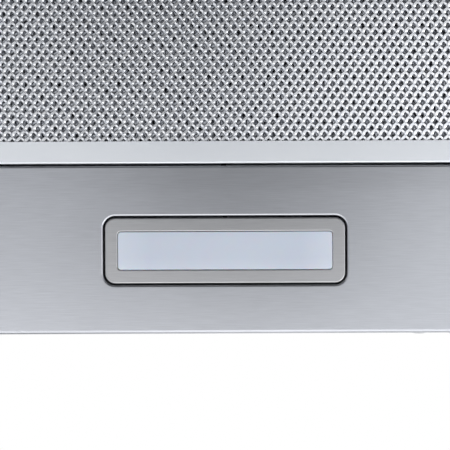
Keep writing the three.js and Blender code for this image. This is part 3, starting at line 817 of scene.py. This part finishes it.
pane = Finish("frosted_acrylic", Roughness=0.42, IOR=1.49, Subsurface_Weight=0.25,
              Subsurface_Scale=0.004)
pane_cloud = pane.noise(14, detail=1.0)
pane_grain = pane.noise(1800, detail=2.0)
pane_x = pane.node("ShaderNodeSeparateXYZ", {}, pane.place(), pick=0)
pane_y = pane.node("ShaderNodeSeparateXYZ", {}, pane.place(), pick=1)
# Painted light: the pane is coloured lighter towards both of its ends and towards its front edge, where the
# front lamps fall; only the cloud is random tone.
pane_end_painted_light = (pane_x.maths("ABSOLUTE") - lamp_middle[0]).maths("ABSOLUTE").above(0.062, 0.012)
pane_front_painted_light = (lamp_middle[1] - pane_y).above(0.009, 0.004)
pane_painted_light = (pane_cloud * 0.35 + pane_end_painted_light * 0.45 + pane_front_painted_light * 0.3).clamp()
pane.look(pane_painted_light, (0.62, 0.67, 0.77), (0.8, 0.84, 0.92), 0.36 + pane_grain * 0.12, pane_grain, 0.00002)


def flat_at(height):
    """Places sheet coordinates (u, v, w) level at a height: w goes up."""
    return lambda uvw: uvw + (0, 0, height)


board = Finish("white_light_board", Roughness=0.45, IOR=1.5)
board_grain = board.noise(700, detail=2)
board.look(board_grain, (0.72, 0.74, 0.72), (0.82, 0.84, 0.82), 0.4 + board_grain * 0.15)


def dress(material, *names, edge=0.25 * MM):
    """Keeps CAD parts as they are: welded, their sharp edges eased, with a finish of their own."""
    for name in names:
        part = nodes[name]
        for place in part.material_slots:
            place.material = material
        weld = part.modifiers.new("weld", "WELD")
        weld.merge_threshold = 0.00001
        ease = part.modifiers.new("ease", "BEVEL")
        ease.width = edge
        ease.segments = 2
        ease.limit_method = "ANGLE"
        ease.angle_limit = math.radians(40)


reveal = 1.15 * MM
window_width, window_depth = 141.5 * MM, 24.8 * MM
for side, sign in (("left", -1), ("right", 1)):
    middle = (sign * lamp_x, lamp_middle[1])
    bezel = sheet_piece(
        f"{side}_bezel_plate",
        flipped(rounded_loop(
            opening_width - 2 * reveal, opening_depth - 2 * reveal, opening_radius - reveal, middle, 12,
        )),
        [rounded_loop(window_width + 0.3 * MM, window_depth + 0.3 * MM, 2.1 * MM, middle, 6)],
        2.5 * MM, flat_at(bottom_z), bezel_steel, edge=0.9 * MM,
    )
    fit(bezel, "hood", "brushed_panels", f"{side}_lamp_bezel")
    glass = sheet_piece(
        f"{side}_frosted_pane",
        flipped(rounded_loop(window_width, window_depth, 2 * MM, middle, 6)),
        [], 4 * MM, flat_at(bottom_z - 0.1 * MM), pane.material, edge=0.3 * MM,
    )
    fit(glass, "hood", "frosted_pane", f"{side}_lamp_diffuser")
    dress(zinc_sheet, f"{side}_lamp_housing", edge=0.6 * MM)
    dress(board.material, f"{side}_lamp_board")
    clips = [
        bar(
            f"{side}_lamp_clip_{k + 1}",
            [(y * flip + lamp_middle[1], z + bottom_z) for y, z in (
                (18.8 * MM, 8 * MM), (21.6 * MM, 5.4 * MM), (21.1 * MM, 4.9 * MM), (19.2 * MM, 6.4 * MM),
                (19.2 * MM, 3.2 * MM), (18.8 * MM, 3.2 * MM))],
            0.2 * MM, "x", middle[0] + x - 6 * MM, 12 * MM, bright_steel, edge=0.1 * MM,
        )
        for k, (x, flip) in enumerate(
            ((-45 * MM, 1), (45 * MM, 1), (-45 * MM, -1), (45 * MM, -1)),
        )
    ]
    for clip in clips:
        fit(clip, "hood", "spring_steel")


# --- Grease filters ---------------------------------------
# An aluminium channel folded round three layers of slit and stretched mesh. The layers differ in
# pitch and direction, so the holes of one cross the strands of the next.
bright = Finish("filter_aluminium", Metallic=0.6)
bright_cloud = bright.noise(16, detail=2)
bright_line = bright.noise(1500, (0.02, 1, 1), detail=2)
bright_tone = bright_cloud * 0.6 + bright_line * 0.4
bright.look(bright_tone, (0.9, 0.93, 0.98), (0.96, 0.98, 1.0),
            0.36 + bright_cloud * 0.1 + bright_line * 0.05, bright_line, 0.000006)


def stretched_aluminium(name, light, dark):
    """Raw aluminium that has been slit and stretched: bright, and scuffed strand by strand."""
    finish = Finish(name, Metallic=0.85)
    scuff = finish.noise(420, detail=2)
    return finish.look(scuff.above(0.5, 0.2), dark, light, 0.16 + scuff * 0.2, scuff, 0.00006)


# Lit and shaded copies of one aluminium: the face layer's copy is made lighter as painted light, and the two
# inner layers' copy darker as painted shade for the shadow they lie in behind the face.
mesh_lit_copy = stretched_aluminium("mesh_face_aluminium_painted_light", (0.99, 0.99, 1.0), (0.88, 0.9, 0.95))
mesh_shaded_copy = stretched_aluminium("mesh_inner_aluminium_painted_shade", (0.9, 0.92, 0.96), (0.4, 0.42, 0.46))


def band_round(name, loop, profile, material):
    """A closed profile of (into the loop, height) carried round a closed loop. The loop is a
    function of how far it moves inwards, so every profile point has a loop of its own."""
    rings = np.array([np.column_stack([loop(away), np.full(len(loop(away)), z)]) for away, z in profile])
    m, n = rings.shape[:2]
    step = np.roll(profile, -1, 0) - np.roll(profile, 1, 0)
    turn = unit(np.column_stack([step[:, 1], -step[:, 0]])) * sense(profile)
    out = unit(loop(0) - loop(0.1 * MM))
    normals = np.empty((m, n, 3))
    normals[:, :, :2] = -turn[:, None, 0:1] * out[None]
    normals[:, :, 2] = turn[:, 1:2]
    quads = ring_quads(m, n, True)
    return mesh_piece(name, rings.reshape(-1, 3), [quads], normals.reshape(-1, 3), material)


def cut_out(piece, tools):
    """Takes the tools' shapes out of a piece, then weights its normals by face area so that flats
    stay flat and bends stay round. The tools are removed."""
    for tool in tools:
        cut = piece.modifiers.new("cut", "BOOLEAN")
        cut.object = tool
        cut.solver = "EXACT"
    piece.modifiers.new("even", "WEIGHTED_NORMAL")
    bpy.context.view_layer.update()
    seen = piece.evaluated_get(bpy.context.evaluated_depsgraph_get())
    finished = bpy.data.meshes.new_from_object(seen)
    piece.modifiers.clear()
    piece.data = finished
    for tool in tools:
        bpy.data.objects.remove(tool)


def hollow_section(path, thickness):
    """Closed outline of a bent strip: its outer path, a round end, its inner path and the other
    round end."""
    _, points, angles = path
    across = np.column_stack([-np.sin(angles), np.cos(angles)])
    turn = np.linspace(0, math.pi, 6)[1:-1]
    outer, inner = points, points + across * thickness

    def end(point, heading):
        side = np.array([-math.sin(heading), math.cos(heading)]) * thickness / 2
        ahead = np.array([math.cos(heading), math.sin(heading)]) * thickness / 2
        return point + side - np.outer(np.cos(turn), side) + np.outer(np.sin(turn), ahead)

    first = end(points[0], angles[0] + math.pi)
    first = first + across[0] * thickness
    return np.concatenate([outer, end(points[-1], angles[-1]), inner[::-1], first])


latch_room = (28 * MM, 108.2 * MM)


def expanded_layer(
    name, low, high, height, pitch, strand, material, turn=0.0, phase=(0.0, 0.0), segments=3,
):
    """Slit and stretched sheet. Bonds lie on a staggered lattice; from each, two strands lean to
    the two bonds of the next row. A strand runs along the slit, crosses over and runs along it
    again; its section is a tilted triangle, crowned towards the room, one for each station.
    Strands in the latch's way are left out, behind the border of the channel."""
    width, thick = strand
    middle = (np.asarray(low) + np.asarray(high)) / 2
    reach = np.hypot(*(np.asarray(high) - np.asarray(low))) / 2 + pitch[0]
    columns, rows = int(reach / pitch[0]) + 2, int(2 * reach / pitch[1]) + 2
    i, j = np.meshgrid(np.arange(-columns, columns), np.arange(-rows, rows), indexing="ij")
    start = np.stack([(i + (j % 2) / 2) * pitch[0], j * pitch[1] / 2], -1).reshape(-1, 2)
    start = start + np.asarray(phase)
    start = np.concatenate([start, start])
    lean = np.concatenate([np.ones(len(start) // 2), -np.ones(len(start) // 2)])
    spin = np.array([[math.cos(turn), math.sin(turn)], [-math.sin(turn), math.cos(turn)]])
    t = np.linspace(0, 1, segments + 1)
    sway = t if segments < 3 else np.array([0.0, 0.2, 0.8, 1.0])[: segments + 1]
    along = np.stack([np.outer(lean, sway) * pitch[0] / 2, np.tile(t, (len(lean), 1)) * pitch[1] / 2], -1)
    centre = (start[:, None] + along) @ spin + middle
    keep = ((centre > np.asarray(low) + width / 2) & (centre < np.asarray(high) - width / 2)).all((1, 2))
    beside, behind = abs(centre[:, :, 0] - middle[0]) < latch_room[0], centre[:, :, 1] > latch_room[1]
    keep &= ~(beside & behind).any(1)
    centre, lean = centre[keep], lean[keep]
    centre = np.dstack([centre, np.full(centre.shape[:2], height)])
    centre[:, :, 2] += 0.25 * MM * np.sin(t * math.pi)[None] * lean[:, None]
    run = unit(np.gradient(centre, axis=1))
    side = np.stack([run[:, :, 1], -run[:, :, 0], np.zeros(run.shape[:2])], -1)
    tilt = math.radians(34)
    side[:, :, 2] = side[:, :, 1] * math.sin(tilt)
    side[:, :, 1] *= math.cos(tilt)
    side = unit(side)
    crown = np.cross(run, side)
    crown *= -np.sign(crown[:, :, 2:3])
    corners = np.stack([centre - side * width / 2, centre + side * width / 2,
                        centre + side * width * 0.12 + crown * thick], 2)
    n, m = corners.shape[:2]
    base = (np.arange(n) * m * 3)[:, None, None]
    k = base + np.arange(m - 1)[None, :, None] * 3 + np.arange(3)[None, None]
    nxt = base + np.arange(m - 1)[None, :, None] * 3 + np.array([1, 2, 0])[None, None]
    quads = np.stack([k, nxt, nxt + 3, k + 3], -1).reshape(-1, 4)
    ends = base[:, :, 0] + np.array([[0, 1, 2]])
    caps = np.concatenate([ends, ends + (m - 1) * 3])
    hub = corners.mean(2, keepdims=True)
    normals = corners - hub
    normals[:, 0] -= run[:, 0][:, None] * thick
    normals[:, -1] += run[:, -1][:, None] * thick
    normals = normals.reshape(-1, 3)
    return mesh_piece(name, corners.reshape(-1, 3), [quads, caps], normals, material, True)


def lathe(name, corners, radius, axis, middle, material, steps=40, poles=False):
    """A section of (distance from the axis, place along it) with eased corners, turned once about
    an axis. With poles its first and last corners lie on the axis; otherwise it closes on itself."""
    corners = np.asarray(corners, float)
    if poles:
        _, points, angles = fold(corners, [radius] * len(corners), 4)
    else:
        start = (corners[0] + corners[-1]) / 2
        _, points, angles = fold([start, *corners, start], [radius] * len(corners), 4)
        points, angles = points[:-1], angles[:-1]
    out = sense(points) * np.column_stack([np.sin(angles), -np.cos(angles)])
    kept = slice(1, -1) if poles else slice(None)
    count = len(points[kept])
    body, normal = (
        np.concatenate([
            section[:, None, :1] * circle(steps)[None], np.tile(section[:, None, 1:], (1, steps, 1)),
        ], 2).reshape(-1, 3) for section in (points[kept], out[kept])
    )
    faces = [ring_quads(count, steps, not poles)]
    if poles:
        ends = np.array([[0, 0, points[0, 1]], [0, 0, points[-1, 1]]])
        lift = math.copysign(1, points[-1, 1] - points[0, 1])
        body = np.concatenate([body, ends])
        normal = np.concatenate([normal, [[0, 0, -lift], [0, 0, lift]]])
        faces.append(end_fans(count, steps))
    return mesh_piece(name, body[:, TURNS[axis]] + middle, faces, normal[:, TURNS[axis]], material)


ground_steel = ground("ground_steel", (0.66, 0.67, 0.69), (0.46, 0.47, 0.49), 0.26)
spring_steel = ground("blued_spring_steel", (0.4, 0.41, 0.44), (0.24, 0.25, 0.28), 0.28)
latch_path = fold(
    mm((130, -126.4), (116.1, -126.4), (116.1, -134.9), (112.5, -135.7)), [1.9 * MM, 1.3 * MM],
)
latch_marks = latch_path[0][1:-1]
bolt_half, shoulder_half, pull_half = 10 * MM, 24 * MM, 8 * MM
shoulder_start, shoulder_end = 9.1 * MM, 11.7 * MM
latch_outline = outline_loop([
    (-bolt_half, 0), (bolt_half, 0), (bolt_half, shoulder_start), (shoulder_half, shoulder_start),
    (shoulder_half, shoulder_end), (pull_half, shoulder_end), *[(pull_half, m) for m in latch_marks],
    (pull_half, latch_path[0][-1]), (-pull_half, latch_path[0][-1]),
    *[(-pull_half, m) for m in latch_marks[::-1]], (-pull_half, shoulder_end),
    (-shoulder_half, shoulder_end), (-shoulder_half, shoulder_start), (-bolt_half, shoulder_start),
], 0.7 * MM)
filter_low, filter_high = box("right_filter_mesh")
frame_low, frame_high = box("right_filter_frame")
channel_wall, border = 0.8 * MM, 14.7 * MM
frame_width = 349 * MM
mesh_pitch = (5.66 * MM, 8.45 * MM)
channel = hollow_section(fold(
    [(border, frame_low[2]), (0, frame_low[2]), (0, frame_high[2]), (border, frame_high[2])],
    [1.2 * MM, 1.2 * MM],
), -channel_wall)
for side, sign in (("left", -1), ("right", 1)):
    x = sign * (frame_low[0] + frame_high[0]) / 2
    middle = (x, (frame_low[1] + frame_high[1]) / 2)
    outline = rounded_loop(frame_width, frame_high[1] - frame_low[1], 1.0 * MM, middle, 5)
    channel_piece = band_round(f"{side}_filter_channel", flipped(outline), channel, bright.material)
    pull_slot = rectangle((x - 8.7 * MM, 108.7 * MM), (x + 8.7 * MM, 118.7 * MM))
    bolt_slot = rectangle((x - 10.6 * MM, -128.1 * MM), (x + 10.6 * MM, -126 * MM))
    cut_out(channel_piece, [
        bar("slot", pull_slot, 1 * MM, "z", -130 * MM, 2.4 * MM, bright.material),
        bar("slot", bolt_slot, 0.4 * MM, "y", 119 * MM, 5 * MM, bright.material),
    ])
    fit(channel_piece, f"{side}_filter", "filter_aluminium", f"{side}_filter_frame")
    low = np.array([x - (filter_high[0] - filter_low[0]) / 2, filter_low[1]])
    high = np.array([x + (filter_high[0] - filter_low[0]) / 2, filter_high[1]])
    face = expanded_layer(
        f"{side}_face_mesh", low, high, filter_low[2] + 0.5 * MM, mesh_pitch, (2.6 * MM, 0.8 * MM),
        mesh_lit_copy,
    )
    back = [
        expanded_layer(
            f"{side}_{name}_mesh", low, high, filter_low[2] + lift,
            (mesh_pitch[0] * size, mesh_pitch[1] * size), (2.1 * MM, 0.5 * MM), mesh_shaded_copy, turn, phase, 1,
        )
        for name, lift, size, turn, phase in (
            ("middle", 2.4 * MM, 0.91, 0.38, (1.3 * MM, 2.1 * MM)),
            ("back", 4.6 * MM, 1.09, -0.27, (0.4 * MM, 0.9 * MM)),
        )
    ]
    fit(face, f"{side}_filter", "filter_aluminium", f"{side}_filter_mesh")
    fit(back[0], f"{side}_filter", "filter_aluminium", f"{side}_filter_core")
    fit(back[1], f"{side}_filter", "filter_aluminium")
    pins = [
        lathe(
            f"{side}_hinge_pin_{k + 1}",
            rectangle((0, start), (1.3 * MM, start + 7.1 * MM)),
            0.4 * MM, "x", (0, hinge_y, hinge_z), bright_steel, 20, True,
        )
        for k, start in enumerate((x - 177.7 * MM, x + 170.6 * MM))
    ]
    for pin in pins:
        fit(pin, f"{side}_filter", "plain_steel")
    latch = sheet_piece(
        f"{side}_latch_bolt", latch_outline, [], 1.4 * MM,
        lambda usw, bend=folded(latch_path), x=x: bend(usw) + (x, 0, 0), ground_steel, latch_marks,
    )
    fit(latch, f"{side}_latch", "plain_steel", f"{side}_filter_latch")
    dress(spring_steel, f"{side}_latch_keeper", edge=0.1 * MM)


def bore(radius, reach, middle):
    """A round tool along X, to be cut out of a sheet that a pin passes through."""
    return lathe(
        "bore", rectangle((0, -reach), (radius, reach)), 0.1 * MM, "x", middle, bright_steel, 24, True,
    )


cut_out(spine, [bore(hinge_hole, 6 * MM, (0, hinge_y, hinge_z))])


# --- Duct collar and damper -------------------------------
# A zinc coated collar with a stiffening bead and a flange spot welded under the top sheet. The
# flap swings on a steel pin across the collar and rests on two folded stops.
collar_low, collar_high = box("duct_collar")
duct_width, duct_depth = 254 * MM, 82.5 * MM
foot_z, rise_z = collar_low[2], collar_high[2]
flange_low, flange_high = -2.3 * MM, -1.3 * MM
collar_section = [
    (0, foot_z), (0, flange_low), (-15 * MM, flange_low), (-15 * MM, flange_high), (0, flange_high),
    (0, 26 * MM), (-0.9 * MM, 28 * MM), (0, 30 * MM), (0, rise_z), (SHEET, rise_z), (SHEET, foot_z),
]
collar_start = (np.array(collar_section[0]) + collar_section[-1]) / 2
_, collar_points, _ = fold(
    [collar_start, *collar_section, collar_start], [0.45 * MM] * len(collar_section), 3,
)
collar_tube = band_round(
    "collar_tube",
    flipped(rounded_loop(duct_width, duct_depth, 2 * MM, (0, duct_y), 6)),
    collar_points[:-1], zinc_sheet,
)
damper_middle = (0, 102 * MM, 12 * MM)
cut_out(collar_tube, [bore(2.4 * MM, 131 * MM, damper_middle)])
fit(collar_tube, "hood", "galvanised_sheet", "duct_collar")
stop_y = duct_y - duct_depth / 2
for k, x in enumerate((-60 * MM, 60 * MM)):
    tab = bar(
        f"flap_stop_{k + 1}",
        [(stop_y + 0.5 * MM, 5 * MM), (stop_y + 5 * MM, 7.6 * MM), (stop_y + 5 * MM, 8.6 * MM),
         (stop_y + 0.5 * MM, 8.6 * MM)],
        0.25 * MM, "x", x - 6 * MM, 12 * MM, zinc_sheet,
    )
    fit(tab, "hood", "galvanised_sheet")
dress(zinc_sheet, "outlet_deck", "damper_flap")
pin_low, pin_high = box("damper_pin")
damper_pin = lathe(
    "damper_axle",
    rectangle((0, pin_low[0]), (2 * MM, pin_high[0])),
    0.5 * MM, "x", damper_middle, bright_steel, 24, True,
)
fit(damper_pin, "damper", "plain_steel", "damper_pin")


# --- Blower -----------------------------------------------
# A motor in a black enamelled can turns two squirrel cage wheels, one in each zinc coated scroll.
# A scroll is a rolled wrap between two cheeks whose inlets are drawn inwards to a smooth lip.
axle_y, axle_z = 65 * MM, -62 * MM
tongue_radius, back_radius = 46 * MM, 59 * MM
outlet_y, outlet_top, tongue_z = 44 * MM, -12 * MM, -21 * MM


def volute(inset, steps=64):
    """Scroll outline in (y, z): down the front of the outlet, then a radius that grows evenly
    with the turn until it meets the straight rear wall."""
    begin = math.atan2(tongue_z - axle_z, outlet_y - axle_y)
    t = np.linspace(0, 1, steps)
    angle = begin + (2 * math.pi - begin) * t
    r = tongue_radius + (back_radius - tongue_radius) * t - inset
    curve = np.column_stack([axle_y + r * np.cos(angle), axle_z + r * np.sin(angle)])
    curve[0, 0] = outlet_y + inset
    ends = [(outlet_y + inset, outlet_top), (axle_y + back_radius - inset, outlet_top)]
    return np.concatenate([ends[:1], curve, ends[1:]])


def cage_wheel(name, x, material):
    """Forty forward curved blades between two rings. A blade's section is an arc that leans with
    the square of its way out, given a thickness, and every blade is the first one turned."""
    blades, along, thick = 40, 34 * MM, 0.5 * MM
    t = np.linspace(0, 1, 7)
    r = 32.4 * MM + 7.2 * MM * t
    lean = 0.02 + 0.2 * t ** 2
    middle = np.column_stack([r * np.cos(lean), r * np.sin(lean)])
    step = np.gradient(middle, axis=0)
    across = unit(np.column_stack([-step[:, 1], step[:, 0]]))
    section = np.concatenate([middle + across * thick / 2, (middle - across * thick / 2)[::-1]])
    facing = np.concatenate([across, -across[::-1]])
    n = len(section)
    turn = np.arange(blades) * 2 * math.pi / blades
    spin = np.stack([np.cos(turn), -np.sin(turn), np.sin(turn), np.cos(turn)], -1).reshape(-1, 2, 2)
    flat, out = np.einsum("bij,nj->bni", spin, section), np.einsum("bij,nj->bni", spin, facing)
    ends = np.array([-along, along])
    points = np.concatenate([
        np.repeat(flat[:, None], 2, 1), np.broadcast_to(ends[None, :, None, None], (blades, 2, n, 1)),
    ], 3)
    facing_out = np.broadcast_to(np.sign(ends)[None, :, None, None], (blades, 2, n, 1))
    normals = np.concatenate([np.repeat(out[:, None], 2, 1), facing_out], 3)
    base = (np.arange(blades) * 2 * n)[:, None]
    j = np.arange(n)[None]
    k, side = base + j, base + (j + 1) % n
    walls = np.stack([k, side, side + n, k + n], -1).reshape(-1, 4)
    h = np.arange(len(t) - 1)[None]
    lid = np.stack([base + h, base + h + 1, base + n - 2 - h, base + n - 1 - h], -1).reshape(-1, 4)
    return mesh_piece(
        name, points.reshape(-1, 3)[:, TURNS["x"]] + (x, axle_y, axle_z), [walls, lid, lid + n],
        normals.reshape(-1, 3)[:, TURNS["x"]], material, True,
    )


axle_middle = (0, axle_y, axle_z)
enamel = Finish("black_motor_enamel", IOR=1.5)
enamel_cloud = enamel.noise(40, detail=3)
enamel_peel = enamel.noise(900, detail=1)
enamel.look(enamel_cloud, (0.012, 0.012, 0.013), (0.024, 0.024, 0.026), 0.26 + enamel_cloud * 0.14,
            enamel_peel, 0.00004)

winding = Finish("copper_winding", Metallic=1.0)
winding_turns = winding.noise(2200, (0.15, 1, 1), detail=2)
winding.look(winding_turns, (0.28, 0.09, 0.03), (0.78, 0.33, 0.14), 0.3 + winding_turns * 0.2,
             winding_turns, 0.00012, 0.8)

for side, sign in (("left", -1), ("right", 1)):
    inner, outer = 45 * MM, 125 * MM
    wrap_outline = np.concatenate([volute(0), volute(1.0 * MM)[::-1]])
    start = inner if sign > 0 else -outer
    wrap = bar(
        f"{side}_scroll_wrap", wrap_outline, 0.3 * MM, "x", start, outer - inner, zinc_sheet, edge=0.2 * MM,
    )
    fit(wrap, "hood", "galvanised_sheet", f"{side}_scroll_housing")
    for name, face, inlet, inward in (("outer", outer, 33 * MM, -1), ("inner", inner, 30 * MM, 1)):
        cheek = sheet_piece(
            f"{side}_scroll_{name}_cheek", outline_loop(volute(0.05 * MM), 0.3 * MM),
            [(round_hole(inlet, (axle_y, axle_z), 56), rolled_rim(2.6 * MM, 4 * MM, 0.9 * MM))],
            0.9 * MM,
            lambda uvw, face=face, inward=inward, sign=sign: np.column_stack(
                [sign * (face + inward * uvw[:, 2]), uvw[:, 0], uvw[:, 1]],
            ),
            zinc_sheet,
        )
        fit(cheek, "hood", "galvanised_sheet")
    wheel_x = sign * (inner + outer) / 2
    blades = cage_wheel(f"{side}_wheel_blades", wheel_x, zinc_sheet)
    fit(blades, "blower_wheel", "galvanised_sheet", f"{side}_impeller")
    for k, (corners, steps) in enumerate((
        (rectangle(*mm((32, -35), (40, -33))), 64),
        (rectangle(*mm((32, 33), (40, 35))), 64),
        (mm((4.2, -13), (8, -13), (8, -0.8), (32.6, -0.8), (32.6, 0.8), (8, 0.8), (8, 13), (4.2, 13)), 48),
    )):
        part = lathe(
            f"{side}_wheel_{('inner_ring', 'outer_ring', 'hub')[k]}", corners, 0.5 * MM, "x",
            (wheel_x, axle_y, axle_z), zinc_sheet, steps,
        )
        fit(part, "blower_wheel", "galvanised_sheet")
    can = lathe(
        f"{side}_motor_shell",
        [(r * MM, sign * z * MM) for r, z in (
            (4.6, 40), (36, 40), (36, 0.15), (34.3, 0.15), (34.3, 38.5), (11, 38.5), (11, 29.5),
            (9.4, 29.5), (9.4, 38.5), (4.6, 38.5))],
        2.2 * MM, "x", axle_middle, enamel.material, 64,
    )
    fit(can, "hood", "motor_enamel", f"motor_can_{side}")
    race = lathe(
        f"{side}_ball_race", rectangle(*mm((4.3, -3.5), (9.1, 3.5))),
        0.5 * MM, "x", (sign * 33.8 * MM, axle_y, axle_z), ground_steel, 40,
    )
    fit(race, "hood", "plain_steel", f"{side}_bearing")
coils = lathe(
    "stator_coils",
    mm((22, -15), (23.5, -21), (31, -21), (33, -13), (34, -13), (34, 13), (33, 13), (31, 21),
       (23.5, 21), (22, 15)),
    1.2 * MM, "x", axle_middle, winding.material, 56,
)
fit(coils, "hood", "copper_winding", "motor_stator")
core = lathe(
    "rotor_core", rectangle(*mm((4.3, -16), (21.4, 16))),
    0.6 * MM, "x", axle_middle, ground_steel, 56,
)
fit(core, "blower_wheel", "plain_steel", "motor_rotor")
shaft_low, shaft_high = box("motor_shaft")
shaft = lathe(
    "drive_shaft",
    rectangle((0, shaft_low[0]), (4 * MM, shaft_high[0])),
    0.6 * MM, "x", axle_middle, ground_steel, 32, True,
)
fit(shaft, "blower_wheel", "plain_steel", "motor_shaft")
dress(zinc_sheet, "motor_bracket")


# --- Controls ---------------------------------------------
# Five domed chrome push caps stand in a black moulded plate on the front face. Behind them a pale
# moulded switch block hangs from two posts.
def moulded(name, light, dark, roughness, grain_size=1500):
    """Injection moulded plastic: a fine spark-eroded grain over slow clouds of tone and gloss."""
    finish = Finish(name, IOR=1.5)
    cloud = finish.noise(30, detail=2)
    grain = finish.noise(grain_size, detail=2)
    return finish.look(cloud * 0.6 + grain * 0.4, dark, light, roughness + grain * 0.14, grain, 0.00003)


black_plastic = moulded("black_moulding", (0.022, 0.022, 0.024), (0.012, 0.012, 0.013), 0.36)
pale_plastic = moulded("pale_moulding", (0.72, 0.72, 0.69), (0.6, 0.6, 0.57), 0.38)
black_sheath = moulded("black_sheath", (0.03, 0.03, 0.031), (0.015, 0.015, 0.016), 0.5, 2600)

chrome = Finish("button_chrome", Metallic=1.0)
chrome_wipe = chrome.noise(120, detail=3)
chrome.look(chrome_wipe, (0.74, 0.76, 0.79), (0.84, 0.86, 0.88), 0.1 + chrome_wipe * 0.09)

button_z = -102 * MM
button_places = [sum(corner[0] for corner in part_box(f"push_button_{k}")) / 2 for k in range(1, 6)]
control_plate = sheet_piece(
    "button_plate",
    flipped(rounded_loop(
        plate_high[0] - plate_low[0], plate_high[2] - plate_low[2], 3 * MM, (0, button_z), 8,
    )),
    [round_hole(7.2 * MM, (x, button_z), 40) for x in button_places],
    plate_high[1] - plate_low[1],
    lambda uvw: np.column_stack([uvw[:, 0], plate_low[1] + uvw[:, 2], uvw[:, 1]]),
    black_plastic, edge=0.9 * MM,
)
fit(control_plate, "hood", "dark_plastic", "control_plate")
cap_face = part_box("push_button_1")[0][1]
for k, x in enumerate(button_places):
    cap = lathe(
        f"button_cap_{k + 1}",
        mm((0, 0.55), (3.4, 0.4), (5.2, 0), (6.8, 0.5), (6.8, 4.8), (7.8, 4.8), (7.8, 6.2), (3, 6.2),
           (3, 19.3), (0, 19.3)),
        0.7 * MM, "y", (x, cap_face, button_z), chrome.material, 48, True,
    )
    fit(cap, f"button_{k + 1}", "button_chrome", f"push_button_{k + 1}")
dress(pale_plastic, "switch_bank")


# --- Wiring -----------------------------------------------
# Mains comes in through a rubber bushing to a terminal block in a zinc coated box. Round sheathed
# leads run from the box to the motor and from the driver to both lamps.
def tube(name, points, radius, material, steps=120, around=14):
    """A round lead: a centripetal spline through its points, with a circle carried along it that
    turns no more than the path does, closed by a flat fan at each end."""
    p = np.asarray(points, float) * MM
    p = np.concatenate([[2 * p[0] - p[1]], p, [2 * p[-1] - p[-2]]])
    knots = np.concatenate([[0], np.cumsum(np.linalg.norm(np.diff(p, axis=0), axis=1) ** 0.5)])
    t = np.linspace(knots[1], knots[-2], steps)
    k = np.clip(np.searchsorted(knots, t, "right") - 1, 1, len(p) - 3)
    t0, t1, t2, t3 = (knots[k + d] for d in (-1, 0, 1, 2))

    def blend(a, b, low, high):
        share = ((t - low) / (high - low))[:, None]
        return a * (1 - share) + b * share

    a1, a2 = blend(p[k - 1], p[k], t0, t1), blend(p[k], p[k + 1], t1, t2)
    a3 = blend(p[k + 1], p[k + 2], t2, t3)
    b1, b2 = blend(a1, a2, t0, t2), blend(a2, a3, t1, t3)
    path = blend(b1, b2, t1, t2)
    along = unit(np.gradient(path, axis=0))
    side = np.empty_like(path)
    side[0] = np.cross(along[0], (0.3, 0.1, 1.0))
    for i in range(1, steps):
        side[i] = side[i - 1] - along[i] * (side[i - 1] @ along[i])
    side = unit(side)
    up = np.cross(along, side)
    ring = circle(around)[None]
    out = side[:, None] * ring[:, :, :1] + up[:, None] * ring[:, :, 1:]
    rings = path[:, None] + out * radius
    body = np.concatenate([rings.reshape(-1, 3), path[[0, -1]]])
    normals = np.concatenate([out.reshape(-1, 3), [-along[0], along[-1]]])
    faces = [ring_quads(steps, around), end_fans(steps, around)]
    return mesh_piece(name, body, faces, normals, material)


lamp_top = (bottom_z / MM) + 18.4
leads = {
    "motor_lead": (2.4, [
        (-197, 80, -30), (-175, 76, -30), (-150, 40, -24), (-120, 6, -16), (-60, 2, -14), (-28, 6, -22),
        (-25, 14, -32.4), (-25, 32.6, -43.2)]),
    "right_lamp_lead": (1.8, [
        (215, 59.6, -16), (215, 50, -16), (200, -20, -14), (185, -120, -16), (182, -200, -38),
        (180, -262, -64), (180, -290, -90), (180, -295, lamp_top)]),
    "left_lamp_lead": (1.8, [
        (204.6, 80, -18), (198, 80, -18), (160, 30, -12), (100, -4, -11), (0, -16, -11), (-110, -30, -12),
        (-160, -100, -16), (-176, -190, -36), (-180, -262, -64), (-180, -290, -90), (-180, -295, lamp_top)]),
}
for name, (radius, route) in leads.items():
    sheath = tube(f"{name}_sheath", route, radius * MM, black_sheath)
    fit(sheath, "hood", "lead_sheath", name)

bushing = lathe(
    "cable_grommet",
    mm((8, -5), (14, -5), (14, -2.7), (10.6, -2.7), (10.6, -0.3), (8, -0.3)),
    0.7 * MM, "z", (cable_x, cable_y, 0), black_plastic, 48,
)
fit(bushing, "hood", "dark_plastic", "cable_bushing")
capacitor_low, capacitor_high = box("run_capacitor")
capacitor = lathe(
    "capacitor_can",
    [(0, capacitor_low[0]), (11.6 * MM, capacitor_low[0]), (13 * MM, capacitor_low[0] + 2.5 * MM),
     (13 * MM, capacitor_high[0]), (0, capacitor_high[0])],
    1.2 * MM, "x", (0, 133 * MM, -24 * MM), black_plastic, 44, True,
)
fit(capacitor, "hood", "dark_plastic", "run_capacitor")
dress(zinc_sheet, "junction_box", "junction_cover")
dress(pale_plastic, "terminal_block")
dress(pale_plastic, "led_driver", edge=0.8 * MM)
box_low, box_high = box("junction_cover")
box_screws = screw_heads(
    "junction_cover_screws",
    [(box_low[0] + 6 * MM, (box_low[1] + box_high[1]) / 2, box_low[2]),
     (box_high[0] - 6 * MM, (box_low[1] + box_high[1]) / 2, box_low[2])],
    3.0 * MM, "z", -1,
)
fit(box_screws, "hood", "plain_steel")
